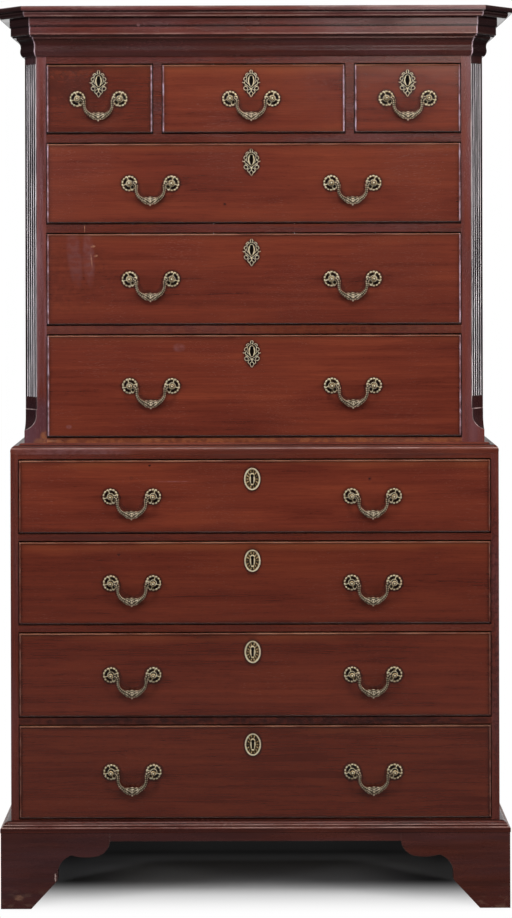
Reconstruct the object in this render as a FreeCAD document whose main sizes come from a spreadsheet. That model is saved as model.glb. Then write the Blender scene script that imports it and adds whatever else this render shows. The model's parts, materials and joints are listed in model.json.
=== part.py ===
"""Chest on chest: a tall mahogany double chest of drawers in two cases.

The lower case stands on bracket feet and carries four long drawers. The upper case is narrower,
with canted and fluted front corners, and carries three short drawers over three long ones under
a cornice. Every drawer front is edged with cockbeads and hung with swan-neck handles.

Millimetres. X runs left to right, -Y is the front and +Z is up. The origin is on the floor,
under the middle of the whole piece, from the cornice's front edge to the back.
"""

import FreeCAD, Part
import math
import os
import re

from FreeCAD import Vector

DOC = FreeCAD.newDocument("ChestOnChest")

# ---------------------------------------------------------------- driving dimensions

SIZES = {
    # the two cases
    "CaseWidth": (1034, "lower case, across its sides"),
    "CaseDepth": (530, "lower case, front to back"),
    "UpperSetback": (27, "upper case behind the lower one, at the front and at each side"),
    "FootHeight": (160, "floor to the lower case"),
    "LowerSide": (16.5, "side board of the lower case"),
    "UpperSide": (20, "side board of the upper case"),
    "CaseBoard": (18, "top and bottom boards"),
    "BackBoard": (10, "back boards"),
    "BackRebate": (8, "how far the back boards lap into the sides"),
    "BackJoint": (0.8, "shrinkage gap between two back boards"),
    # rails and drawer openings, from the floor up
    "LowerBottomRail": (23, "rail under the lowest drawer"),
    "LowerRowFour": (201, "opening of the lowest drawer"),
    "LowerRowThree": (182, "opening of the third lower drawer"),
    "LowerRowTwo": (179, "opening of the second lower drawer"),
    "LowerRowOne": (159, "opening of the first lower drawer"),
    "LowerRail": (14, "rail between two lower drawers"),
    "LowerTopRail": (10, "rail over the lower drawers"),
    "UpperBottomRail": (32, "rail under the upper drawers"),
    "UpperRowFour": (221.5, "opening of the lowest upper drawer"),
    "UpperRowThree": (198.5, "opening of the third upper row"),
    "UpperRowTwo": (174.5, "opening of the second upper row"),
    "UpperRowOne": (150.5, "opening of the short drawers"),
    "UpperRail": (17.5, "rail between two upper drawers"),
    "UpperTopRail": (116, "rail over the short drawers, most of it behind the cornice"),
    "TopRailBoard": (22, "thickness of the rail over the short drawers"),
    "RailDepth": (60, "rails and dividers, front to back"),
    "Divider": (18.5, "upright between two short drawers"),
    "ShortDrawer": (228, "opening width of the outer short drawers"),
    # canted corners
    "StileWidth": (48, "corner stile, seen from the front"),
    "StileDepth": (48, "corner stile, seen from the side"),
    "Cant": (28, "how much the canted corner takes off each face"),
    "FlutePitch": (7, "from flute to flute"),
    "FluteWidth": (5.4, "width of a flute"),
    "FluteLift": (0.4, "how far a flute's centre stands off the cant"),
    "FluteHead": (19, "plain cant between the short drawers' level and the flutes"),
    "FluteFoot": (27, "plain cant between the stop's shoulder and the flutes"),
    "StopShoulder": (94, "height of the stop's shoulder over the lower case"),
    "StopStep": (1.2, "step at the stop's shoulder"),
    "StopNeck": (16, "straight neck under the shoulder"),
    "StopSweep": (30, "height of the tongue's sweep out to the square corner"),
    # runners, guides and stops
    "RunnerWidth": (25, "how far a runner reaches under the drawer side"),
    "GuideHeight": (20, "guide beside the drawer side"),
    "KickerHeight": (15, "strip over the short drawers"),
    "StopLength": (40, "drawer stop, along the rail"),
    "StopDepth": (30, "drawer stop, front to back"),
    "StopHeight": (6, "drawer stop, over the rail"),
    "StopGap": (0.3, "drawer front to its stop"),
    # drawers
    "FrontBoard": (20, "drawer front"),
    "DrawerSide": (9, "drawer side and back"),
    "DrawerBottom": (7, "drawer bottom"),
    "BottomRise": (8, "drawer side's edge to the bottom board"),
    "GrooveDepth": (4, "groove for the bottom board"),
    "TailLap": (1.5, "wood between a cockbead's rebate and the dovetails"),
    "TailSlope": (0.16, "slope of a dovetail"),
    "SideDrop": (5, "front's top edge down to the side's"),
    "DrawerAir": (30, "air behind a drawer"),
    "SideGap": (1.8, "drawer front to the opening, at each end"),
    "TopGap": (3, "drawer front to the rail over it"),
    "FootGap": (2, "drawer front to the rail under it"),
    "RunningGap": (0.3, "drawer side to its runner"),
    "BeadWidth": (3.3, "cockbead, across its nose"),
    "BeadDepth": (7, "cockbead, let into the front"),
    "BeadProud": (3, "cockbead, out of the front"),
    # mouldings
    "CorniceHeight": (100.5, "cornice, top to bottom"),
    "CorniceProjection": (63, "cornice's top edge out of the case"),
    "CorniceFillet": (10.3, "height of the cornice's top fillet"),
    "CymaTop": (53, "projection of the cyma at its top"),
    "CymaFoot": (48, "projection of the cyma at its foot"),
    "CymaHeight": (11, "height of the cyma"),
    "FasciaProjection": (31, "projection of the upper fascia"),
    "FasciaHeight": (17.5, "height of the upper fascia"),
    "BandProjection": (28.8, "projection of the lower fascia"),
    "BandHeight": (21.5, "height of the lower fascia with its rounded edge"),
    "BandRound": (4, "rounded lower edge of the lower fascia"),
    "QuirkHeight": (4, "height of the shadow groove under the lower fascia"),
    "CoveProjection": (17, "projection of the cove at its top"),
    "CoveFoot": (9, "projection of the cove at its foot"),
    "CoveHeight": (20, "height of the cove"),
    "CorniceFoot": (4.4, "projection of the cornice's bottom edge"),
    "WaistHeight": (22, "waist moulding"),
    "WaistGap": (0.5, "waist moulding to the upper case"),
    "WaistFillet": (4, "height of the waist moulding's inner fillet"),
    "WaistFilletRun": (11, "how far the inner fillet reaches out"),
    "WaistOvoloRun": (8, "width of the waist moulding's rounded edge"),
    "WaistOvoloHeight": (14, "height of the waist moulding's rounded edge"),
    "BaseHeight": (22, "base moulding"),
    "BaseProjection": (21, "base moulding out of the lower case"),
    "BaseFillet": (2.5, "top fillet of the base moulding"),
    "BaseOvoloRun": (13.5, "width of the base moulding's rounded edge"),
    "BaseOvoloHeight": (11.5, "height of the base moulding's rounded edge"),
    "BaseStep": (2, "step between the rounded edge and the nosing"),
    # feet
    "BracketProud": (20, "bracket's face out of the lower case"),
    "BracketBoard": (24, "bracket's thickness"),
    "BracketRun": (230, "bracket, along the case"),
    "ApronHeight": (18, "strip between two brackets"),
    "FootToe": (64, "bracket's width on the floor"),
    "FootAnkle": (119.5, "bracket's width over the toe"),
    "ToeHeight": (59.5, "height of the toe's slope"),
    "AnkleHeight": (72, "height where the bracket's curve starts"),
    "CuspRun": (148.5, "bracket's width at the cusp"),
    "CuspHeight": (112.7, "height of the cusp"),
    "LobeRun": (203, "bracket's width at the end of the flat lobe"),
    "LobeHeight": (110.5, "height of the flat lobe's end"),
    "RearBracketRun": (120, "plain back bracket"),
    "RearBracketBoard": (18, "thickness of the back bracket"),
    "GlueBlock": (45, "corner block behind a foot"),
    "GlueBlockLift": (4, "corner block over the floor"),
    "GlueStrip": (15, "strip behind the apron"),
    # brasses
    "HandleHalf": (45, "handle's middle to a post"),
    "UpperHandle": (215, "handles of a long upper drawer, each side of the brasses' middle"),
    "LowerHandle": (255, "handles of a lower drawer, each side of the brasses' middle"),
    "BrassShift": (5, "brasses left of the middle of a long drawer"),
    "PostShank": (3, "radius of a post's bolt"),
    "BoreGap": (0.05, "bolt to its hole"),
    "PostNeck": (3.6, "radius of a post's neck"),
    "PostHead": (5.5, "radius of a post's head"),
    "PostReach": (13, "drawer face to the bail's axis"),
    "PinRadius": (2, "radius of the bail's pins"),
    "PinGap": (0.05, "bail's pin to its hole in the post"),
    "BailGap": (0.4, "end of the bail's arm to the post's head"),
    "NutRadius": (7, "radius of a nut"),
    "NutHeight": (4, "thickness of a nut"),
    "RosetteRadius": (17.2, "radius of a rosette"),
    "RosetteRim": (1.6, "thickness of a rosette's rim"),
    "RosetteDome": (2.6, "height of a rosette's dome"),
    "BailHalf": (30, "bail's middle to an arm"),
    "BailDrop": (37, "bail's axis to its grip"),
    "BailWire": (3, "radius of the bail"),
    "BailShoulder": (7.5, "radius of the bend at the top of an arm"),
    "BailBend": (18, "radius of the bend at the foot of an arm"),
    "LeafHalf": (16, "half the length of the grip's leaf"),
    "LeafRise": (8.5, "half the height of the leaf"),
    "LeafThick": (5, "half the thickness of the leaf"),
    "PlateDrop": (43, "opening's top edge to the middle of the key plate"),
    "PlateBoard": (1.6, "thickness of a key plate"),
    "OvalWide": (34.5, "oval key plate"),
    "OvalTall": (47, "oval key plate"),
    "CartoucheWide": (31, "body of the pierced key plate"),
    "CartoucheTall": (46, "body of the pierced key plate"),
    "CartoucheLobe": (5, "radius of its side scrolls and of its foot"),
    "CartoucheTip": (19.5, "middle of the pierced plate to its side tips"),
    "CartoucheFoot": (29, "middle of the pierced plate to its foot"),
    "OvalKeyRise": (6.3, "middle of the oval key plate up to the keyhole's round"),
    "CartoucheKeyRise": (12, "middle of the pierced key plate up to the keyhole's round"),
    "KeyRadius": (3, "radius of the keyhole's round"),
    "KeySlot": (4.4, "width of the keyhole's slot"),
    "KeyFall": (15.5, "length of the keyhole's slot"),
    "LockWide": (60, "lock"),
    "LockTall": (46, "lock"),
    "LockDeep": (12, "lock"),
}

SHEET = DOC.addObject("Spreadsheet::Sheet", "Dims")
for row, (alias, (value, note)) in enumerate(SIZES.items(), start=1):
    SHEET.set(f"A{row}", note)
    SHEET.set(f"B{row}", str(value))
    SHEET.setAlias(f"B{row}", alias)
DOC.recompute()


def on_sheet(text):
    """An expression with each size's name pointed at its cell."""
    return re.sub(r"\b([A-Z][A-Za-z]+)\b", r"Dims.\1", text)


def size(text):
    """The value of an expression on the sheet, in millimetres."""
    return float(SHEET.evalExpression(on_sheet(text)))


# ---------------------------------------------------------------- places worked out from them

BACK = "((CaseDepth - UpperSetback + CorniceProjection) / 2)"
INNER_BACK = f"({BACK} - BackBoard)"
LOWER_FRONT = f"({BACK} - CaseDepth)"
UPPER_FRONT = f"({LOWER_FRONT} + UpperSetback)"
LOWER_HALF = "(CaseWidth / 2)"
UPPER_HALF = f"({LOWER_HALF} - UpperSetback)"
LOWER_INSIDE = f"({LOWER_HALF} - LowerSide)"
UPPER_INSIDE = f"({UPPER_HALF} - UpperSide)"
UPPER_OPENING = f"({UPPER_HALF} - StileWidth)"
MIDDLE_OPENING = f"({UPPER_OPENING} - ShortDrawer - Divider)"


def openings(floor, bottom_rail, rail, heights):
    """The low and high edge of each drawer opening, from the lowest up."""
    level = f"({floor} + {bottom_rail})"
    found = []
    for height in heights:
        found.append((level, f"({level} + {height})"))
        level = f"({level} + {height} + {rail})"
    return found


LOWER_ROWS = openings("FootHeight", "LowerBottomRail", "LowerRail",
                      ["LowerRowFour", "LowerRowThree", "LowerRowTwo", "LowerRowOne"])
LOWER_TOP = f"({LOWER_ROWS[-1][1]} + LowerTopRail)"
UPPER_ROWS = openings(LOWER_TOP, "UpperBottomRail", "UpperRail",
                      ["UpperRowFour", "UpperRowThree", "UpperRowTwo", "UpperRowOne"])
TOP = f"({UPPER_ROWS[-1][1]} + UpperTopRail)"

# ---------------------------------------------------------------- ways to make a piece

NODES = []


def bind(thing, **sizes):
    """Tie properties of an object to expressions on the sheet."""
    for name, text in sizes.items():
        thing.setExpression(name, on_sheet(text))
    return thing


def place(thing, point):
    """Tie an object's position to three expressions."""
    for axis, text in zip("xyz", point):
        thing.setExpression(f".Placement.Base.{axis}", on_sheet(text))
    return thing


def board(name, low, high):
    """A board between two corners, each of three expressions."""
    box = DOC.addObject("Part::Box", name)
    spans = [f"({end}) - ({start})" for start, end in zip(low, high)]
    bind(box, Length=spans[0], Width=spans[1], Height=spans[2])
    return place(box, low)


def pair(name, low, high):
    """A board on the right and its mirror image on the left."""
    right = board(f"{name}_right", low, high)
    left_low = (f"-({high[0]})", low[1], low[2])
    left_high = (f"-({low[0]})", high[1], high[2])
    return [board(f"{name}_left", left_low, left_high), right]


def rod(name, radius, length, start, along="y"):
    """A round bar from a point along +X, +Y or +Z."""
    bar = bind(DOC.addObject("Part::Cylinder", name), Radius=radius, Height=length)
    turns = {
        "x": FreeCAD.Rotation(Vector(0, 1, 0), 90),
        "y": FreeCAD.Rotation(Vector(1, 0, 0), -90),
        "z": FreeCAD.Rotation(),
    }
    bar.Placement.Rotation = turns[along]
    return place(bar, start)


def joined(name, pieces):
    """Pieces made one."""
    whole = DOC.addObject("Part::MultiFuse", name)
    whole.Shapes = pieces
    return whole


def cut(name, base, tools):
    """A piece with others taken out of it."""
    result = DOC.addObject("Part::Cut", name)
    result.Base = base
    result.Tool = tools[0] if len(tools) == 1 else joined(f"{name}_tools", tools)
    return result


def shaped(name, shape, point=None):
    """A piece whose shape is worked out below, set at a point of three expressions."""
    piece = DOC.addObject("Part::Feature", name)
    piece.Shape = shape
    return place(piece, point) if point else piece


def node(name, pieces):
    """A named sub-part: one piece, or several separate ones."""
    group = DOC.addObject("Part::Compound", name)
    group.Label = name
    group.Links = pieces
    NODES.append(group)


# ---------------------------------------------------------------- outlines and mitred runs


def outline_edges(steps, at):
    """Edges through steps: a point (p, q) ends a line, and a pair of points is an arc through
    the first that ends at the second. The outline closes on its first point."""
    edges = []
    start = steps[0]
    for step in steps[1:] + [steps[0]]:
        if isinstance(step[0], tuple):
            via, end = step
            edges.append(Part.Arc(at(*start), at(*via), at(*end)).toShape())
        else:
            end = step
            edges.append(Part.LineSegment(at(*start), at(*end)).toShape())
        start = end
    return edges


def outline_face(steps, at):
    """A flat face inside an outline."""
    return Part.Face(Part.Wire(outline_edges(steps, at)))


def arc_via(start, end, bulge):
    """The point by which an arc from start to end bulges to its left, by bulge of its chord."""
    (p0, q0), (p1, q1) = start, end
    return ((p0 + p1) / 2 - (q1 - q0) * bulge, (q0 + q1) / 2 + (p1 - p0) * bulge)


def mitre_slope(before, along, out, normal):
    """How far a mitre runs along a run for each millimetre outwards."""
    bisector = before.cross(normal) + out
    return bisector.dot(along) / bisector.dot(out)


def mitred_runs(corners, normal, steps, closed=False):
    """A moulding along corners: each straight run has its own solid, mitred to the next.

    An outline point (p, q) lies p outside the path and q along the normal.
    """
    count = len(corners) if closed else len(corners) - 1
    flat = [point for step in steps for point in (step if isinstance(step[0], tuple) else (step,))]
    inner, outer = min(p for p, q in flat) - 1, max(p for p, q in flat) + 1
    low, high = min(q for p, q in flat) - 1, max(q for p, q in flat) + 1
    ways = [(corners[(i + 1) % len(corners)] - corners[i]).normalize() for i in range(count)]
    solids = []
    for i, along in enumerate(ways):
        start, end = corners[i], corners[(i + 1) % len(corners)]
        out = along.cross(normal)
        first = mitre_slope(ways[i - 1], along, out, normal) if closed or i > 0 else 0
        last = 0
        if closed or i < count - 1:
            last = mitre_slope(ways[(i + 1) % count], along, out, normal)
        spare = along * (outer - inner) * 2
        face = outline_face(steps, lambda p, q: start - spare + out * p + normal * q)
        bar = face.extrude(end - start + spare * 2)
        plan = [start + (out + along * first) * inner, start + (out + along * first) * outer,
                end + (out + along * last) * outer, end + (out + along * last) * inner]
        plan = [point + normal * low for point in plan]
        block = Part.Face(Part.makePolygon(plan + [plan[0]])).extrude(normal * (high - low))
        solids.append(bar.common(block).Solids[0])
    return solids


def moulding(name, corners, normal, steps, closed=False):
    """The runs of a moulding as separate pieces."""
    runs = mitred_runs(corners, normal, steps, closed)
    return [shaped(f"{name}_{number}", run) for number, run in enumerate(runs, start=1)]


UP = Vector(0, 0, 1)

# ---------------------------------------------------------------- cornice


def cornice():
    """Fillet, cyma, two fasciae and a cove, along the sides, the cants and the front."""
    top = size(TOP)
    half, front, cant = size(UPPER_HALF), size(UPPER_FRONT), size("Cant")
    fillet = top - size("CorniceFillet")
    cyma = fillet - size("CymaHeight")
    fascia = cyma - size("FasciaHeight")
    band = fascia - size("BandHeight")
    cove_top = band - size("QuirkHeight")
    cove_foot = cove_top - size("CoveHeight")
    foot = top - size("CorniceHeight")
    round_off = size("BandRound")
    projection, band_out = size("CorniceProjection"), size("BandProjection")
    cyma_top, cyma_foot = (size("CymaTop"), fillet), (size("CymaFoot"), cyma)
    cove_start, cove_end = (size("CoveProjection"), cove_top), (size("CoveFoot"), cove_foot)
    edge = (size("CorniceFoot"), foot)
    steps = [
        (0, top), (projection, top), (projection, fillet), cyma_top,
        (arc_via(cyma_top, cyma_foot, 0.18), cyma_foot),
        (size("FasciaProjection"), cyma), (size("FasciaProjection"), fascia),
        (band_out, fascia), (band_out, band + round_off),
        (arc_via((band_out, band + round_off), (band_out - round_off, band), -0.2),
         (band_out - round_off, band)),
        (size("CoveProjection"), band), cove_start,
        (arc_via(cove_start, cove_end, -0.16), cove_end),
        (arc_via(cove_end, edge, 0.14), edge),
        (0, foot),
    ]
    right = [Vector(half - cant, front, 0), Vector(half, front + cant, 0),
             Vector(half, size(BACK), 0)]
    left = [Vector(-point.x, point.y, 0) for point in reversed(right)]
    node("cornice_moulding", moulding("cornice_run", left + right, UP, steps))


# ---------------------------------------------------------------- waist and base mouldings


def three_sided(half, front):
    """The path along the left side, the front and the right side of a case."""
    back = size(BACK)
    return [Vector(-half, back, 0), Vector(-half, front, 0),
            Vector(half, front, 0), Vector(half, back, 0)]


def waist_moulding():
    """Lies on the lower case and frames the foot of the upper one."""
    gap, floor = size("WaistGap"), size(LOWER_TOP)
    outer = size("UpperSetback") - gap
    top = floor + size("WaistHeight")
    ledge = top - size("WaistFillet")
    run = size("WaistFilletRun")
    shoulder = (outer - size("WaistOvoloRun"), ledge)
    foot = (outer, ledge - size("WaistOvoloHeight"))
    steps = [(0, floor), (0, top), (run - size("WaistFillet"), top), (run, ledge), shoulder,
             (arc_via(shoulder, foot, 0.2), foot), (outer, floor)]
    path = three_sided(size(UPPER_HALF) + gap, size(UPPER_FRONT) - gap)
    node("waist_moulding", moulding("waist_run", path, UP, steps))


def base_moulding():
    """Planted around the foot of the lower case."""
    floor = size("FootHeight")
    top = floor + size("BaseHeight")
    fillet = (size("BaseFillet"), top)
    foot = (size("BaseFillet + BaseOvoloRun"), top - size("BaseOvoloHeight"))
    nose = (foot[0] + size("BaseStep"), foot[1])
    edge = (size("BaseProjection"), foot[1] - (size("BaseProjection") - nose[0]))
    steps = [(0, floor), (0, top), fillet, (arc_via(fillet, foot, 0.2), foot), nose,
             (arc_via(nose, edge, 0.2), edge), (edge[0], floor)]
    path = three_sided(size(LOWER_HALF), size(LOWER_FRONT))
    node("base_moulding", moulding("base_run", path, UP, steps))


# ---------------------------------------------------------------- bracket feet


def bracket_outline():
    """A foot's bracket, from its outer corner: toe, ankle, hollow, cusp and flat lobe."""
    ankle, cusp = (size("FootAnkle"), size("AnkleHeight")), (size("CuspRun"), size("CuspHeight"))
    lobe = (size("LobeRun"), size("LobeHeight"))
    tip = (size("BracketRun"), size("FootHeight - ApronHeight"))
    return [
        (0, 0), (size("FootToe"), 0), (size("FootAnkle"), size("ToeHeight")), ankle,
        (arc_via(ankle, cusp, 0.16), cusp), (arc_via(cusp, lobe, -0.06), lobe),
        (arc_via(lobe, tip, -0.16), tip), (tip[0], size("FootHeight")),
        (0, size("FootHeight")),
    ]


def bracket(name, corner, along, across, square_end=False):
    """One board of a foot, mitred at its corner unless its end is square."""
    thick = size("BracketBoard")
    face = outline_face(bracket_outline(), lambda run, rise: corner + along * run + UP * rise)
    slab = face.extrude(across * thick)
    far = size("BracketRun") + 1
    inner = corner + across * thick + along * (0 if square_end else thick)
    plan = [corner, corner + along * far, corner + along * far + across * thick, inner]
    block = Part.Face(Part.makePolygon(plan + [plan[0]])).extrude(UP * size("FootHeight"))
    return shaped(name, slab.common(block).Solids[0])


def bracket_feet():
    """Mitred brackets in front, side and back brackets behind, aprons and glue blocks."""
    outer = f"({LOWER_HALF} + BracketProud)"
    front = f"({LOWER_FRONT} - BracketProud)"
    inner_x, inner_y = f"({outer} - BracketBoard)", f"({front} + BracketBoard)"
    pieces = []
    for side, word in ((-1, "left"), (1, "right")):
        corner = Vector(side * size(outer), size(front), 0)
        rear = Vector(corner.x, size(BACK), 0)
        inwards, backwards = Vector(-side, 0, 0), Vector(0, 1, 0)
        pieces += [
            bracket(f"front_bracket_{word}", corner, inwards, backwards),
            bracket(f"side_bracket_{word}", corner, backwards, inwards),
            bracket(f"rear_bracket_{word}", rear, -backwards, inwards, square_end=True),
        ]
    clear = f"({outer} - BracketRun)"
    apron = "(FootHeight - ApronHeight)"
    pieces.append(board("front_apron", (f"-{clear}", front, apron), (clear, inner_y, "FootHeight")))
    pieces += pair("side_apron", (inner_x, f"{front} + BracketRun", apron),
                   (outer, f"{BACK} - BracketRun", "FootHeight"))
    pieces += pair("back_bracket",
                   (f"{inner_x} - RearBracketRun", f"{BACK} - RearBracketBoard", "0"),
                   (inner_x, BACK, "FootHeight"))
    block = f"({inner_x} - GlueBlock)"
    pieces += pair("front_glue_block", (block, inner_y, "GlueBlockLift"),
                   (inner_x, f"{inner_y} + GlueBlock", "FootHeight"))
    rear = f"({BACK} - RearBracketBoard)"
    pieces += pair("rear_glue_block", (block, f"{rear} - GlueBlock", "GlueBlockLift"),
                   (inner_x, rear, "FootHeight"))
    strip = "(FootHeight - GlueStrip)"
    pieces.append(board("front_glue_strip", (f"-{block}", inner_y, strip),
                        (block, f"{inner_y} + GlueStrip", "FootHeight")))
    pieces += pair("side_glue_strip", (f"{inner_x} - GlueStrip", f"{inner_y} + GlueBlock", strip),
                   (inner_x, f"{rear} - GlueBlock", "FootHeight"))
    node("bracket_feet", pieces)


# ---------------------------------------------------------------- case sides and backs


def rebated_sides(name, half, thick, front, floor, top):
    """Two side boards with a rebate behind for the back boards."""
    inside = f"({half} - {thick})"
    sides = []
    boards = pair(f"{name}_board", (inside, front, floor), (half, BACK, top))
    rebates = pair(f"{name}_rebate", (inside, INNER_BACK, floor),
                   (f"{inside} + BackRebate", BACK, top))
    for word, plank, rebate in zip(("left", "right"), boards, rebates):
        sides.append(cut(f"{name}_{word}_side", plank, [rebate]))
    node(name, sides)


def back_boards(name, inside, floor, top, count=5):
    """Upright boards side by side between the rebates."""
    half = f"({inside} + BackRebate)"
    pitch = f"((2 * {half} + BackJoint) / {count})"
    boards = []
    for number in range(count):
        left = f"({pitch} * {number} - {half})"
        right = f"({left} + {pitch} - BackJoint)"
        boards.append(board(f"{name}_{number + 1}", (left, INNER_BACK, floor), (right, BACK, top)))
    node(name, boards)


# ---------------------------------------------------------------- canted and fluted stiles


def cant_waste(side):
    """What the chamfer and its lamb's-tongue stop take off a square corner post."""
    diagonal = math.sqrt(2)
    outwards = Vector(side, -1, 0) / diagonal
    along = Vector(side, 1, 0) / diagonal
    depth = size("Cant") / diagonal
    middle = Vector(side * size(f"{UPPER_HALF} - Cant / 2"), size(f"{UPPER_FRONT} + Cant / 2"), 0)
    over = size(TOP) + 1
    shoulder = size(f"{LOWER_TOP} + StopShoulder")
    neck = shoulder - size("StopNeck")
    tip = neck - size("StopSweep")
    step = size("StopStep")
    reach = depth - step
    radius = (reach ** 2 + size("StopSweep") ** 2) / (2 * reach)
    swing = math.asin(size("StopSweep") / radius) / 2
    via = (step + radius * (1 - math.cos(swing)), neck - radius * math.sin(swing))
    steps = [(0, over), (0, shoulder), (step, shoulder), (step, neck), (via, (depth, tip)),
             (depth * 2, tip), (depth * 2, over)]
    half_width = size("Cant")
    face = outline_face(steps, lambda out, rise: middle + outwards * out + UP * rise - along * half_width)
    return face.extrude(along * (2 * half_width))


def flute(name, side, number):
    """A round-ended groove down the cant: a rod with a ball at each end."""
    across = f"({number} * FlutePitch / sqrt(2))"
    lift = "(FluteLift / sqrt(2))"
    x = f"({side} * ({UPPER_HALF} - Cant / 2 + {across} + {lift}))"
    y = f"({UPPER_FRONT} + Cant / 2 + {across} - {lift})"
    foot = f"({LOWER_TOP} + StopShoulder + FluteFoot)"
    head = f"({UPPER_ROWS[-1][1]} + UpperRail - FluteHead)"
    groove = rod(f"{name}_rod", "FluteWidth / 2", f"{head} - {foot}", (x, y, foot), "z")
    ends = []
    for word, level in (("foot", foot), ("head", head)):
        ball = bind(DOC.addObject("Part::Sphere", f"{name}_{word}"), Radius="FluteWidth / 2")
        ends.append(place(ball, (x, y, level)))
    return [groove] + ends


def fluted_stiles():
    """A square post at each front corner, canted, stopped at its foot and fluted."""
    posts = pair("stile_post", (UPPER_OPENING, UPPER_FRONT, LOWER_TOP),
                 (UPPER_HALF, f"{UPPER_FRONT} + StileDepth", TOP))
    stiles = []
    for side, word, post in ((-1, "left", posts[0]), (1, "right", posts[1])):
        tools = [shaped(f"cant_waste_{word}", cant_waste(side))]
        for number in range(-2, 3):
            tools += flute(f"flute_{word}_{number + 3}", side, number)
        stiles.append(cut(f"stile_{word}", post, tools))
    node("fluted_stiles", stiles)


# ---------------------------------------------------------------- rails and case boards


def lower_rails():
    """Bottom rail, three rails between the drawers and a thin top rail."""
    back = f"({LOWER_FRONT} + RailDepth)"
    levels = [("FootHeight", LOWER_ROWS[0][0])]
    levels += [(below[1], above[0]) for below, above in zip(LOWER_ROWS, LOWER_ROWS[1:])]
    levels += [(LOWER_ROWS[-1][1], LOWER_TOP)]
    node("lower_rails", [
        board(f"lower_rail_{number}", (f"-{LOWER_INSIDE}", LOWER_FRONT, low),
              (LOWER_INSIDE, back, high))
        for number, (low, high) in enumerate(levels, start=1)
    ])


def upper_rails():
    """Bottom rail, three rails, the deep top rail and the dividers of the short drawers."""
    back = f"({UPPER_FRONT} + RailDepth)"
    levels = [(LOWER_TOP, UPPER_ROWS[0][0])]
    levels += [(below[1], above[0]) for below, above in zip(UPPER_ROWS, UPPER_ROWS[1:])]
    pieces = [
        board(f"upper_rail_{number}", (f"-{UPPER_OPENING}", UPPER_FRONT, low),
              (UPPER_OPENING, back, high))
        for number, (low, high) in enumerate(levels, start=1)
    ]
    low, high = UPPER_ROWS[-1]
    pieces.append(board("upper_top_rail", (f"-{UPPER_OPENING}", UPPER_FRONT, high),
                        (UPPER_OPENING, f"{UPPER_FRONT} + TopRailBoard", TOP)))
    pieces += pair("divider", (MIDDLE_OPENING, UPPER_FRONT, low),
                   (f"{MIDDLE_OPENING} + Divider", back, high))
    node("upper_rails", pieces)


def case_boards():
    """Top and bottom boards of both cases; the upper top board is notched round the stiles."""
    lower_start, upper_start = f"({LOWER_FRONT} + RailDepth)", f"({UPPER_FRONT} + RailDepth)"
    pieces = [
        board("lower_bottom_board", (f"-{LOWER_INSIDE}", lower_start, "FootHeight"),
              (LOWER_INSIDE, INNER_BACK, "FootHeight + CaseBoard")),
        board("lower_top_board", (f"-{LOWER_INSIDE}", lower_start, LOWER_ROWS[-1][1]),
              (LOWER_INSIDE, INNER_BACK, LOWER_TOP)),
        board("upper_bottom_board", (f"-{UPPER_INSIDE}", upper_start, LOWER_TOP),
              (UPPER_INSIDE, INNER_BACK, f"{LOWER_TOP} + CaseBoard")),
    ]
    lid = board("upper_lid", (f"-{UPPER_INSIDE}", f"{UPPER_FRONT} + TopRailBoard",
                              f"{TOP} - CaseBoard"), (UPPER_INSIDE, INNER_BACK, TOP))
    notches = pair("stile_notch", (UPPER_OPENING, UPPER_FRONT, f"{TOP} - CaseBoard"),
                   (UPPER_INSIDE, f"{UPPER_FRONT} + StileDepth", TOP))
    pieces.append(cut("upper_top_board", lid, notches))
    node("case_boards", pieces)


# ---------------------------------------------------------------- runners, guides and stops


def drawer_stop(name, middle, front, floor):
    """A block on the rail that a closed drawer's front meets."""
    y = f"({front} + FrontBoard + StopGap)"
    return board(name, (f"{middle} - StopLength / 2", y, floor),
                 (f"{middle} + StopLength / 2", f"{y} + StopDepth", f"{floor} + StopHeight"))


def lower_running():
    """Runners along the lower case's sides and two stops on each rail."""
    back = f"({LOWER_FRONT} + RailDepth)"
    pieces = []
    for number, (floor, head) in enumerate(LOWER_ROWS, start=1):
        thick = "LowerRail" if number > 1 else "(LowerBottomRail - CaseBoard)"
        pieces += pair(f"lower_runner_{number}",
                       (f"{LOWER_INSIDE} - RunnerWidth", back, f"{floor} - {thick}"),
                       (LOWER_INSIDE, INNER_BACK, floor))
        for word, share in (("left", "-0.5"), ("right", "0.5")):
            pieces.append(drawer_stop(f"lower_stop_{number}_{word}", f"{share} * {LOWER_INSIDE}",
                                      LOWER_FRONT, floor))
    return pieces


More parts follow.
